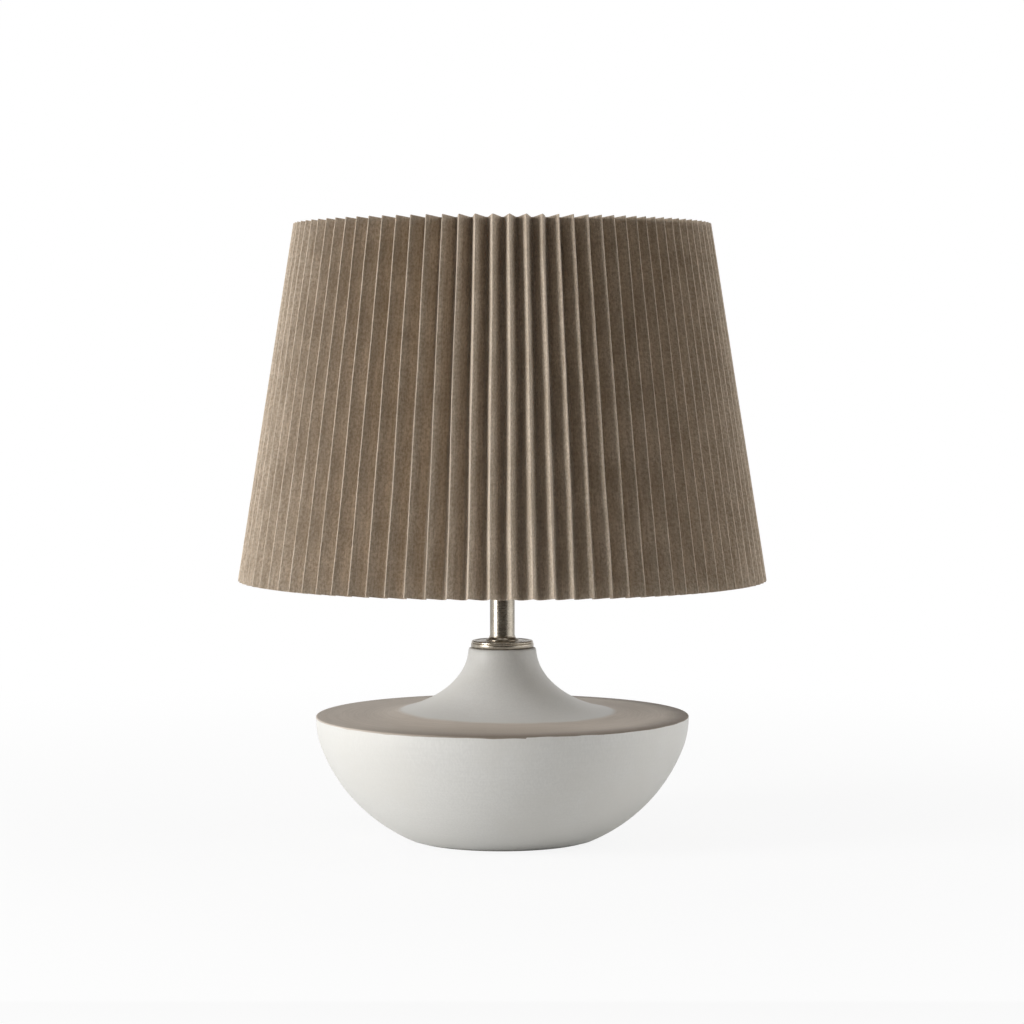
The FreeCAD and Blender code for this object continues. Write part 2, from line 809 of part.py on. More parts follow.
def bulb_insulator():
    base = bulb_foot + bulb_tip_height
    return turned(
        (0.0, base),
        (bulb_tip_radius + 0.6, base),
        (0.9 * (bulb_cap_radius - bulb_cap_sheet), bulb_cap_base),
        (0.0, bulb_cap_base),
    )


def bulb_contact():
    base = bulb_foot + bulb_tip_height
    return turned(
        (0.0, bulb_foot),
        (0.5 * bulb_tip_radius, bulb_foot),
        (0.9 * bulb_tip_radius, bulb_foot + 0.4 * bulb_tip_height, bulb_tip_radius, base),
        (0.0, base),
    )


# ================================================================ shade
def pleat_section(crest_radius, depth):
    """Half a pleat in plan, valley on +X, as (outside points, inside points) out to the crest.

    A flat flank runs in from the crest, and short flats of a valley arc finish the fold.
    Every flat keeps its direction from end to end of the pleat, so each one is a plane.
    """
    half = 0.5 * pleat_angle
    crest = (crest_radius * math.cos(half), crest_radius * math.sin(half))
    valley = crest_radius - depth * math.cos(shade_lean)
    flank = math.radians(flank_angle)
    turn = (0.5 * math.pi - flank) / valley_flats
    directions = [0.5 * math.pi - turn * (k + 0.5) for k in range(valley_flats)] + [flank]
    chord = 2.0 * math.sin(0.5 * turn)
    across = sum(chord * math.sin(a) for a in directions[:-1])
    inward = sum(chord * math.cos(a) for a in directions[:-1])
    spare = crest[1] - (crest[0] - valley) * math.tan(flank)
    arc_radius = spare / (across - inward * math.tan(flank))
    outside = [(valley, 0.0)]
    for angle in directions[:-1]:
        x, y = outside[-1]
        outside.append((x + arc_radius * chord * math.cos(angle), y + arc_radius * chord * math.sin(angle)))
    outside.append(crest)

    thickness = paper_thickness / math.cos(shade_lean)
    inside = []
    before = math.pi - directions[0]
    for (x, y), after in zip(outside, directions):
        middle = 0.5 * (before + after)
        reach = thickness / math.cos(0.5 * (before - after))
        inside.append((x - reach * math.sin(middle), y + reach * math.cos(middle)))
        before = after
    x, y = inside[-1]
    run = (y - x * math.tan(half)) / (math.cos(flank) * math.tan(half) - math.sin(flank))
    inside.append((x + run * math.cos(flank), y + run * math.sin(flank)))
    return outside, inside


def pleat_line(section, crest_radius, crest_height):
    """The section from crest to crest, laid on a plane square to the paper's slope."""
    crest = crest_radius * math.cos(0.5 * pleat_angle)
    both = [(x, -y) for x, y in reversed(section[1:])] + section
    return [V(x, y, crest_height - (crest - x) * math.tan(shade_lean)) for x, y in both]


def flat(points):
    return Part.Face(Part.makePolygon(points + points[:1]))


def pleated_cover():
    """One closed sheet of paper: a pleat's flats, turned round the axis and sewn."""
    low_out, low_in = pleat_section(shade_bottom_radius, pleat_depth_bottom)
    high_out, high_in = pleat_section(shade_top_radius, pleat_depth_top)
    low_out = pleat_line(low_out, shade_bottom_radius, shade_bottom)
    low_in = pleat_line(low_in, shade_bottom_radius, shade_bottom)
    high_out = pleat_line(high_out, shade_top_radius, shade_top)
    high_in = pleat_line(high_in, shade_top_radius, shade_top)
    pleat = [flat(low_out + low_in[::-1]), flat(high_out + high_in[::-1])]
    for low, high in ((low_out, high_out), (low_in, high_in)):
        for k in range(len(low) - 1):
            pleat.append(flat([low[k], low[k + 1], high[k + 1], high[k]]))
    faces = []
    for k in range(pleat_count):
        for face in pleat:
            copy = face.copy()
            copy.rotate(V(0, 0, 0), UP, 360.0 * k / pleat_count - 90.0)
            faces.append(copy)
    shell = Part.makeShell(faces)
    shell.sewShape()
    if shell.ShapeType != "Shell":
        shell = shell.Shells[0]
    solid = Part.makeSolid(shell)
    if solid.Volume < 0.0:
        solid.reverse()
    return solid


def valley_inside(height):
    """Inner radius of the valleys at a height."""
    lean = math.cos(shade_lean)
    slope = math.sin(shade_lean)
    low_radius = shade_bottom_radius - pleat_depth_bottom * lean
    low_height = shade_bottom - pleat_depth_bottom * slope
    high_radius = shade_top_radius - pleat_depth_top * lean
    high_height = shade_top - pleat_depth_top * slope
    share = (height - low_height) / (high_height - low_height)
    return low_radius + share * (high_radius - low_radius) - paper_thickness / lean


def ring_radius(height):
    """Centre radius of a wire ring glued inside the valleys."""
    return valley_inside(height) - (ring_wire_radius + soft_gap) / math.cos(shade_lean)


top_ring_height = shade_top - top_ring_inset
bottom_ring_height = shade_bottom + bottom_ring_inset


def wire_ring(height):
    return Part.makeTorus(ring_radius(height), ring_wire_radius, V(0, 0, height), UP)


def fitter_washer():
    return disc(fitter_radius, fitter_base, fitter_thickness, fitter_bore_radius)


def spider_arms(ring, washer):
    """Wires from the fitter washer out and up to the top ring, trimmed to both."""
    low = fitter_base + 0.5 * fitter_thickness
    outer = ring_radius(top_ring_height) - 0.2
    knee = outer - arm_rise_run
    start = V(fitter_radius - 1.0, 0, low)
    corner = V(knee, 0, low)
    end = V(outer, 0, top_ring_height)
    climb = math.atan2(end.z - corner.z, end.x - corner.x)
    back = arm_bend_radius * math.tan(0.5 * climb)
    before = V(knee - back, 0, low)
    after = corner + V(math.cos(climb), 0, math.sin(climb)).multiply(back)
    middle = V(before.x + arm_bend_radius * math.sin(0.5 * climb), 0,
               low + arm_bend_radius * (1.0 - math.cos(0.5 * climb)))
    path = Part.Wire([
        Part.LineSegment(start, before).toShape(),
        Part.Arc(before, middle, after).toShape(),
        Part.LineSegment(after, end).toShape(),
    ])
    section = Part.Wire(Part.Circle(start, V(1, 0, 0), arm_wire_radius).toShape())
    arm = path.makePipeShell([section], True, False)
    arms = []
    for k in range(arm_count):
        copy = arm.copy()
        copy.rotate(V(0, 0, 0), UP, 90.0 + 360.0 * k / arm_count)
        arms.append(copy.cut(ring).cut(washer).Solids[0])
    return Part.makeCompound(arms)


# ================================================================ all pieces
def build():
    hole = pipe_radius + pipe_fit
    top_ring = wire_ring(top_ring_height)
    washer = fitter_washer()
    left_ferrule = mirrored(ferrule())
    pipe = disc(pipe_radius, pipe_foot, pipe_top - pipe_foot, pipe_bore_radius)
    screw_outer = screw_shell_bore + screw_shell_sheet
    return {
        "felt_pad": disc(felt_radius, 0.0, felt_thickness),
        "ceramic_body": ceramic_body(),
        "cord_bushing": cord_bushing(),
        "lamp_pipe": pipe,
        "bottom_washer": disc(washer_radius, recess_height - washer_thickness, washer_thickness, hole),
        "lock_washer": lock_washer(),
        "bottom_nut": bottom_nut(),
        "vase_cap": vase_cap(),
        "check_ring": check_ring(),
        "neck_tube": neck_tube(),
        "harp_saddle": harp_saddle(),
        "socket_cap": socket_cap(),
        "socket_set_screw": socket_set_screw(),
        "socket_shell": socket_shell(),
        "socket_liner": socket_liner(),
        "socket_insulator": socket_insulator(),
        "terminal_screws": terminal_screws(),
        "screw_shell": disc(screw_outer, block_top, screw_shell_length, screw_shell_bore),
        "centre_contact": centre_contact(),
        "switch_shaft": switch_shaft(),
        "switch_knob": switch_knob(),
        "bulb_glass": bulb_glass_shape(),
        "bulb_screw_cap": bulb_screw_cap(),
        "bulb_insulator": bulb_insulator(),
        "bulb_contact": bulb_contact(),
        "harp_bow": harp_bow(),
        "ferrule_right": ferrule(),
        "ferrule_left": left_ferrule,
        "swivel_stud": swivel_stud(),
        "fitter_washer": washer,
        "top_ring": top_ring,
        "spider_arms": spider_arms(top_ring, washer),
        "bottom_ring": wire_ring(bottom_ring_height),
        "pleated_cover": pleated_cover(),
        "finial": finial(),
    }


for name, shape in build().items():
    shape.exportStep("parts/" + name + ".step")
    size = shape.BoundBox
    print("%-18s %d solid(s) %s %10.1f mm3   x %.1f..%.1f  y %.1f..%.1f  z %.1f..%.1f" % (
        name, len(shape.Solids), "valid" if shape.isValid() else "NOT VALID", shape.Volume,
        size.XMin, size.XMax, size.YMin, size.YMax, size.ZMin, size.ZMax))
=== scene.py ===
# %% [markdown]
# # A pleated paper table lamp
# The lamp is a wide ceramic bowl with a flat painted top, a short metal neck, and a
# tall paper shade folded into narrow pleats. Its measured solids are already packed as
# a fixed frame, so every piece here is made in metres in that same frame and goes
# exactly where the solids are. Two steps come first: load the frame, and keep its box
# to compare with the finished lamp.

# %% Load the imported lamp
import json
import math

import bpy
import numpy as np
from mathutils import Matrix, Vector


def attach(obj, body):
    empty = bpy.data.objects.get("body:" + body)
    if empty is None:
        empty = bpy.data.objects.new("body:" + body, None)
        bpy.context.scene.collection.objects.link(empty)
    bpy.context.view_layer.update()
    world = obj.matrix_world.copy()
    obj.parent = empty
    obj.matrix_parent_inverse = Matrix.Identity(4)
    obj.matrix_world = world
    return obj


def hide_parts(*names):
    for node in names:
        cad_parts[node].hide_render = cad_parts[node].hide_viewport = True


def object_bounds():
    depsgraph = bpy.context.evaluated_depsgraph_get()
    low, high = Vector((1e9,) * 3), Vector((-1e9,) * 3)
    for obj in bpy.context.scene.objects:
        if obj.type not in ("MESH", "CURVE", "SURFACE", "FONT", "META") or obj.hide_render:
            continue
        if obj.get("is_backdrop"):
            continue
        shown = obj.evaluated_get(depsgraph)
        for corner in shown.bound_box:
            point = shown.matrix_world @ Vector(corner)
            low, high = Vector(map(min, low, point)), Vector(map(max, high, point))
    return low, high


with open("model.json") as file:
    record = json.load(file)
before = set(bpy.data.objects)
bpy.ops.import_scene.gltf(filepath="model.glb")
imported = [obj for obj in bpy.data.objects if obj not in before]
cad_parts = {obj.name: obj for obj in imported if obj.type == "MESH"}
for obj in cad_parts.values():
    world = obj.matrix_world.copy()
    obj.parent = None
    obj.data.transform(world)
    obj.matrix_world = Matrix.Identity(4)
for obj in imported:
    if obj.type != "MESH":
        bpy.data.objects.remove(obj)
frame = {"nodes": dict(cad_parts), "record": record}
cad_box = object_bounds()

nodes = frame["nodes"]
MM = 0.001

# %% [markdown]
# ## The camera
# The lamp was photographed from 2.3 m, a little above its middle, with a long lens, so
# its sides hardly taper. A long lens on a square frame is described by its focal length
# and the sensor's width; the small downward pitch shows the bowl's flat top as a
# narrow ellipse.

# %% Camera
SENSOR, LENS = 36.0, 105.28                  # millimetres
CAMERA_PLACE = (0.00745, -2.3, 0.3627)
CAMERA_PITCH = 2.77                          # degrees downwards


def placed(name, data):
    """A new object in the scene that holds this data."""
    made = bpy.data.objects.new(name, data)
    bpy.context.scene.collection.objects.link(made)
    return made


camera = placed("camera", bpy.data.cameras.new("camera"))
camera.data.sensor_width = SENSOR
camera.data.lens = LENS
camera.location = CAMERA_PLACE
camera.rotation_euler = (math.radians(90.0 - CAMERA_PITCH), 0.0, 0.0)
bpy.context.scene.camera = camera
bpy.context.scene.view_settings.view_transform = "Standard"
print("camera: %.2f m away, lens %.1f mm" % (-camera.location.y, camera.data.lens))

# %% [markdown]
# ## Sums inside a node tree
# Both shapes and finishes below are worked out by node trees. Drawing long formulas out
# of Math nodes by hand is slow to read, so a small class stands for a number in a
# tree: adding or multiplying two of them adds the Math node and links it. A second
# class adds any other node with its inputs in one line. Both serve geometry trees and
# materials.

# %% Numbers in a node tree
def plug(tree, value, socket):
    """Link a value into a socket, or write a plain number or colour on it."""
    if isinstance(value, Number):
        value = value.socket
    if isinstance(value, bpy.types.NodeSocket):
        tree.links.new(value, socket)
    else:
        socket.default_value = value


class Number:
    """A number that a tree works out. Arithmetic on it adds Math nodes."""

    def __init__(self, tree, socket):
        self.tree = tree
        self.socket = socket

    def math(self, operation, *others):
        node = self.tree.nodes.new("ShaderNodeMath")
        node.operation = operation
        for value, socket in zip((self,) + others, node.inputs):
            plug(self.tree, value, socket)
        return Number(self.tree, node.outputs[0])

    def __add__(self, other):
        return self.math("ADD", other)

    def __sub__(self, other):
        return self.math("SUBTRACT", other)

    def __rsub__(self, other):
        return self.math("MULTIPLY", -1.0).math("ADD", other)

    def __mul__(self, other):
        return self.math("MULTIPLY", other)

    def __truediv__(self, other):
        return self.math("DIVIDE", other)

    def __rtruediv__(self, other):
        return self.math("POWER", -1.0).math("MULTIPLY", other)

    __radd__ = __add__
    __rmul__ = __mul__

    def limited(self):
        return self.math("MAXIMUM", 0.0).math("MINIMUM", 1.0)

    def sin(self):
        return self.math("SINE")

    def cos(self):
        return self.math("COSINE")


def blend_between(low, high, share):
    """low where share is 0, high where it is 1."""
    return low + (high - low) * share


class Tree:
    """A node tree in the making."""

    def add(self, kind, sockets=(), **settings):
        node = self.tree.nodes.new(kind)
        for key, value in settings.items():
            setattr(node, key, value)
        for key, value in dict(sockets).items():
            plug(self.tree, value, node.inputs[key])
        return node


print("node tree helpers ready")

# %% [markdown]
# ## A helper for finishes
# A finish is a Principled shader fed by a few textures. Patterns are laid on Object
# coordinates, which are metres in the lamp's own frame, so a scale of 1000 is one
# wave per millimetre. A number that is the same all over goes straight on the shader.

# %% Finish helper
def srgb(red, green, blue):
    """A colour given as 0-255 screen values, as the linear values a shader wants."""
    made = []
    for part in (red, green, blue):
        part = part / 255.0
        made.append(part / 12.92 if part <= 0.04045 else ((part + 0.055) / 1.055) ** 2.4)
    return tuple(made) + (1.0,)


class Finish(Tree):
    """A material in the making: each call adds a node and gives back what it works out."""

    def __init__(self, name, **sockets):
        self.material = bpy.data.materials.new(name)
        self.material.use_nodes = True
        self.tree = self.material.node_tree
        self.shader = self.tree.nodes["Principled BSDF"]
        self.place = self.add("ShaderNodeTexCoord").outputs["Object"]
        self.set(**sockets)

    def set(self, **sockets):
        for key, value in sockets.items():
            plug(self.tree, value, self.shader.inputs[key.replace("_", " ")])

    def scaled(self, vector, x, y, z):
        node = self.add("ShaderNodeMapping", {"Vector": vector, "Scale": (x, y, z)})
        return node.outputs[0]

    def noise(self, vector, scale, detail=2.0, rough=0.5):
        node = self.add("ShaderNodeTexNoise", {
            "Vector": vector, "Scale": scale, "Detail": detail, "Roughness": rough})
        return Number(self.tree, node.outputs[0])

    def voronoi(self, vector, scale):
        node = self.add("ShaderNodeTexVoronoi", {"Vector": vector, "Scale": scale})
        return Number(self.tree, node.outputs["Distance"])

    def spread(self, value, low, high, to_low=0.0, to_high=1.0):
        """low..high stretched to to_low..to_high, smoothly and without going past."""
        node = self.add("ShaderNodeMapRange", {
            "Value": value, "From Min": low, "From Max": high, "To Min": to_low,
            "To Max": to_high}, interpolation_type="SMOOTHSTEP")
        return Number(self.tree, node.outputs[0])

    def mix(self, share, first, second):
        """One colour into another. Inputs 6 and 7 are the node's two colours."""
        node = self.add("ShaderNodeMix", {0: share, 6: first, 7: second}, data_type="RGBA")
        return node.outputs[2]

    def parts(self, vector):
        node = self.add("ShaderNodeSeparateXYZ", {0: vector})
        return [Number(self.tree, socket) for socket in node.outputs]

    def attribute(self, name):
        return self.add("ShaderNodeAttribute", attribute_name=name).outputs["Vector"]

    def bump(self, height, distance, strength=1.0, under=None):
        """Relief of a height from 0 to 1, distance metres tall."""
        node = self.add("ShaderNodeBump", {"Height": height, "Distance": distance,
                                           "Strength": strength})
        if under is not None:
            plug(self.tree, under, node.inputs["Normal"])
        return node.outputs[0]


finishes = {}
print("finish helper ready")

# %% [markdown]
# ## The paper
# The shade is a heavy, matte, taupe paper. Close up it has long fibres that run up and
# down, a faint cloudy mottling, and a paler line along each pressed crest, partly wear
# and partly a painted highlight. The fibres have to follow the folded surface, so the
# mesh carries its own map: how far across the flat sheet a point is, how far up, and how
# far it is from the nearest crest.

# %% Paper finish
# How far from a crest the paler wear and painted highlight fade out.
WEAR_AND_HIGHLIGHT_FULL, WEAR_AND_HIGHLIGHT_END = 0.2 * MM, 0.9 * MM     # distances from a crest


def paper_finish():
    paper = Finish("pleated_paper", Roughness=0.86, Specular_IOR_Level=0.22,
                   Sheen_Weight=0.12, Sheen_Roughness=0.6, Subsurface_Weight=0.3,
                   Subsurface_Radius=(1.0, 0.85, 0.7), Subsurface_Scale=0.0007)
    sheet = paper.attribute("sheet")
    across, up, crest = paper.parts(sheet)
    fibres = paper.noise(paper.scaled(sheet, 1100.0, 110.0, 0.0), 1.0, 4.0, 0.6)
    strands = paper.noise(paper.scaled(sheet, 380.0, 30.0, 0.0), 1.0, 3.0, 0.55)
    clouds = paper.noise(paper.place, 40.0, 3.0, 0.6)
    pulp = paper.noise(paper.scaled(sheet, 620.0, 420.0, 0.0), 1.0, 3.0, 0.65)
    tone = paper.spread(fibres * 0.25 + strands * 0.25 + pulp * 0.5, 0.38, 0.62)
    colour = paper.mix(tone, srgb(160, 145, 127), srgb(204, 189, 171))
    colour = paper.mix(paper.spread(clouds, 0.35, 0.7, 0.0, 0.35), colour, srgb(150, 134, 114))
    # Painted highlight: a paler colour along each crest, partly the wear of the pressed fold
    # and partly standing in for the light that catches it.
    crest_wear_and_highlight = paper.spread(crest, WEAR_AND_HIGHLIGHT_FULL, WEAR_AND_HIGHLIGHT_END, 1.0, 0.0)
    crest_wear_and_highlight = crest_wear_and_highlight * paper.spread(strands, 0.25, 0.6, 0.5, 1.0)
    colour = paper.mix(crest_wear_and_highlight * 0.2, colour, srgb(206, 196, 182))
    paper.set(Base_Color=colour)
    weave = paper.bump(pulp, 0.0004, 0.8)
    paper.set(Normal=paper.bump(fibres, 0.00014, 0.8, weave))
    return paper.material


finishes["pleated_paper"] = paper_finish()
print("paper finish:", len(finishes["pleated_paper"].node_tree.nodes), "nodes")

# %% [markdown]
# ## The glazed bowl
# The pottery has two colours. The neck and the bowl's side are a matte white, and the
# flat top is brushed with a taupe that starts softly on the flare, a little off centre,
# and ends just over the rim, where the brush left an uneven edge. A painted shade
# darkens the taupe along the rim and at the front, less on the left, where the side
# light falls. Fine sideways strokes from the wheel and the brush cover all of it. Both
# edges of the painted band are found from a point's distance to the axis and its height,
# with a little noise so that they waver.

# %% Glaze finish
PAINT_CENTRE = (4.0 * MM, -1.5 * MM)         # the brushed band isn't quite centred
PAINT_START, PAINT_FADE = 82.5 * MM, 3.0 * MM
PAINT_DROP, DROP_FADE = 93.9 * MM, 0.2 * MM  # height of its edge on the rim
# Where the painted shade lies along the rim, and how it fades out to the left.
RIM_SHADE_START, RIM_SHADE_END = 120.0 * MM, 143.5 * MM
RIM_SHADE_LEFT, RIM_SHADE_MIDDLE = -110.0 * MM, 0.0    # the dark rim fades out to the left
# Where the painted shade lies on the front of the painted top.
FRONT_SHADE_FULL, FRONT_SHADE_END = -115.0 * MM, -65.0 * MM
NICK_X, NICK_WIDTH, NICK_DEEP = 17.5 * MM, 0.6 * MM, 0.8 * MM
START_WAVER, RIM_SHADE_WAVER, FRONT_SHADE_WAVER = 3.0 * MM, 6.0 * MM, 20.0 * MM
DROP_WAVER, DROP_SCALLOP = 1.0 * MM, 2.0 * MM


def glaze_finish():
    glaze = Finish("glazed_ceramic")
    x, y, z = glaze.parts(glaze.place)
    out = (x * x + y * y).math("SQRT")
    waver = glaze.noise(glaze.place, 55.0, 3.0, 0.55) - 0.5
    aside, ahead = x - PAINT_CENTRE[0], y - PAINT_CENTRE[1]
    started = (aside * aside + ahead * ahead).math("SQRT") + waver * START_WAVER
    start = glaze.spread(started, PAINT_START - PAINT_FADE, PAINT_START + PAINT_FADE)
    scallop = glaze.noise(glaze.place, 26.0, 2.0, 0.5) - 0.5
    line = z + waver * DROP_WAVER + scallop * DROP_SCALLOP
    nick = glaze.spread(x, NICK_X, NICK_X + NICK_WIDTH, 0.0, -NICK_DEEP)
    line = line + nick * y.math("LESS_THAN", 0.0)
    drop = glaze.spread(line, PAINT_DROP - DROP_FADE, PAINT_DROP + DROP_FADE)
    painted = start * drop
    round_wheel = glaze.add("ShaderNodeCombineXYZ", {
        0: x / out * 3.0, 1: y / out * 3.0, 2: (out + z) * 700.0}).outputs[0]
    strokes = glaze.noise(round_wheel, 1.0, 4.0, 0.6)
    linen = glaze.noise(glaze.scaled(glaze.place, 800.0, 800.0, 300.0), 1.0, 2.0, 0.5)
    clouds = glaze.noise(glaze.place, 14.0, 3.0, 0.55)
    tone = glaze.spread(strokes * 0.35 + linen * 0.65, 0.36, 0.64)
    white = glaze.mix(tone, srgb(206, 205, 201), srgb(212, 211, 207))
    white = glaze.mix(glaze.spread(clouds, 0.4, 0.65, 0.0, 0.5), white, srgb(206, 204, 198))
    brushed = glaze.spread(strokes, 0.35, 0.65)
    taupe = glaze.mix(brushed, srgb(194, 184, 172), srgb(204, 194, 183))
    colour = glaze.mix(painted, white, taupe)
    # Painted shade: the rim's rounding and the outer edge of the top are darkened, much less
    # on the left, where the side light falls.
    painted_rim_shade = glaze.spread(out + waver * RIM_SHADE_WAVER, RIM_SHADE_START, RIM_SHADE_END) * drop
    painted_rim_shade = painted_rim_shade * glaze.spread(x, RIM_SHADE_LEFT, RIM_SHADE_MIDDLE, 0.2, 0.9)
    # Painted shade: the front of the painted top, on the camera's side, is darkened.
    painted_front_shade = glaze.spread(y + clouds * FRONT_SHADE_WAVER, FRONT_SHADE_FULL, FRONT_SHADE_END, 0.42, 0.0) * painted
    colour = glaze.mix(painted_front_shade, colour, srgb(136, 125, 113))
    colour = glaze.mix(painted_rim_shade, colour, srgb(122, 111, 100))
    glaze.set(Base_Color=colour)
    glaze.set(Roughness=glaze.spread(tone, 0.0, 1.0, 0.44, 0.54) + painted * 0.12,
              Specular_IOR_Level=0.45 - painted * 0.25)
    coarse = glaze.bump(strokes, 0.00006, 0.5)
    glaze.set(Normal=glaze.bump(linen, 0.00005, 0.5, coarse))
    return glaze.material


finishes["glazed_ceramic"] = glaze_finish()
print("glaze finish:", len(finishes["glazed_ceramic"].node_tree.nodes), "nodes")

# %% [markdown]
# ## Metals
# The neck, harp and finial are plated steel, brushed to a satin. Brushing leaves fine
# lines round the turned parts, which show as streaks in the roughness and as a relief
# of a thousandth of a millimetre or less. The socket's screw shell is brass, the nut and
# washers are zinc, and the bulb's cap is aluminium: the same recipe with other colours
# and another grain, so the metals are a table.

# %% Metal finishes
def metal_finish(name, dark, light, rough, grain, relief, streak):
    metal = Finish(name, Metallic=1.0)
    lines = metal.noise(metal.scaled(metal.place, *grain), 1.0, 3.0, 0.6)
    clouds = metal.noise(metal.place, 130.0, 3.0, 0.6)
    metal.set(Base_Color=metal.mix(metal.spread(clouds, 0.3, 0.7), dark, light))
    metal.set(Roughness=metal.spread(lines * 0.6 + clouds * 0.4, 0.3, 0.7,
                                     rough - streak, rough + streak))
    metal.set(Normal=metal.bump(lines, relief, 0.5))
    return metal.material


# name: darker and lighter colour, roughness, grain, relief in millimetres, streak
metals = {
    "satin_nickel": ((174, 165, 151), (188, 180, 166), 0.27, (60, 60, 2600), 0.0006, 0.03),
    "socket_nickel": ((180, 176, 168), (200, 197, 190), 0.28, (80, 80, 2200), 0.003, 0.05),
    "brass": ((176, 142, 84), (204, 172, 110), 0.3, (80, 80, 1800), 0.02, 0.08),
    "zinc_steel": ((150, 152, 152), (178, 180, 178), 0.4, (300, 300, 300), 0.02, 0.08),
    "aluminium": ((188, 189, 190), (208, 208, 208), 0.34, (90, 90, 1500), 0.02, 0.08),
    "solder": ((150, 150, 150), (180, 180, 178), 0.36, (400, 400, 400), 0.06, 0.08),
}
for name, (dark, light, rough, grain, relief, streak) in metals.items():
    finishes[name] = metal_finish(
        name, srgb(*dark), srgb(*light), rough, grain, relief * MM, streak)
print("metals:", ", ".join(metals))

# %% [markdown]
# ## Plastics, card, felt and glass
# Most of the small parts are dull, and each has its own grain: fine pits on moulded
# plastic, fibres on pressed card, loose matted hair on felt, and a clear skin over a
# milky body on the opal bulb.

# %% Other finishes
def moulded_finish(name, dark, light, rough, pits):
    plastic = Finish(name, Specular_IOR_Level=0.45)
    grain = plastic.noise(plastic.place, pits, 2.0, 0.5)
    clouds = plastic.noise(plastic.place, 160.0, 3.0, 0.6)
    plastic.set(Base_Color=plastic.mix(plastic.spread(clouds, 0.3, 0.7), dark, light))
    plastic.set(Roughness=plastic.spread(clouds + grain * 0.5, 0.5, 1.0,
                                         rough - 0.06, rough + 0.08))
    plastic.set(Normal=plastic.bump(grain, 0.00003, 0.7))
    return plastic.material


def fibre_finish(name, dark, light, scale, stretch, relief):
    cloth = Finish(name, Roughness=0.95, Specular_IOR_Level=0.1, Sheen_Weight=0.25,
                   Sheen_Roughness=0.7)
    hair = cloth.noise(cloth.scaled(cloth.place, *stretch), scale, 5.0, 0.7)
    knots = cloth.voronoi(cloth.place, scale * 0.6)
    tone = cloth.spread(hair * 0.7 + knots * 0.5, 0.3, 0.8)
    cloth.set(Base_Color=cloth.mix(tone, dark, light))
    cloth.set(Normal=cloth.bump(hair, relief, 0.9))
    return cloth.material


def opal_finish():
    glass = Finish("opal_glass", Roughness=0.22, Coat_Weight=0.6, Coat_Roughness=0.06,
                   Subsurface_Weight=0.25, Subsurface_Scale=0.004)
    clouds = glass.noise(glass.place, 45.0, 3.0, 0.55)
    glass.set(Base_Color=glass.mix(glass.spread(clouds, 0.35, 0.65),
                                   srgb(226, 224, 216), srgb(238, 237, 231)))
    glass.set(Normal=glass.bump(glass.noise(glass.place, 180.0, 2.0, 0.5), 0.00003, 0.4))
    return glass.material


# name: darker and lighter colour, roughness, pits a metre
moulded = {
    "black_plastic": ((28, 27, 26), (44, 43, 41), 0.42, 2400.0),
    "phenolic": ((46, 36, 30), (66, 54, 46), 0.5, 1500.0),
    "nylon": ((196, 194, 188), (214, 212, 206), 0.46, 2400.0),
    "black_glass": ((18, 18, 22), (34, 34, 40), 0.16, 2400.0),
    "white_wire": ((206, 204, 198), (222, 220, 214), 0.4, 900.0),
}
for name, (dark, light, rough, pits) in moulded.items():
    finishes[name] = moulded_finish(name, srgb(*dark), srgb(*light), rough, pits)
finishes["card"] = fibre_finish(
    "card", srgb(132, 106, 76), srgb(168, 142, 108), 1.0, (900, 900, 2400), 0.00008)
finishes["felt"] = fibre_finish(
    "felt", srgb(104, 100, 94), srgb(146, 142, 134), 1700.0, (1, 1, 1.6), 0.00025)
finishes["opal_glass"] = opal_finish()
print("finishes:", len(finishes))

# %% [markdown]
# ## Growing a mesh from a node tree
# A geometry tree is worked out on an empty mesh object. Its sizes are named inputs, set
# by each socket's identifier before the object is first looked at. The result is then
# copied to a plain mesh and the modifier is taken off, so that what rides on a body is
# an ordinary piece.

# %% Geometry tree helpers
WELD_GAP = 0.01 * MM


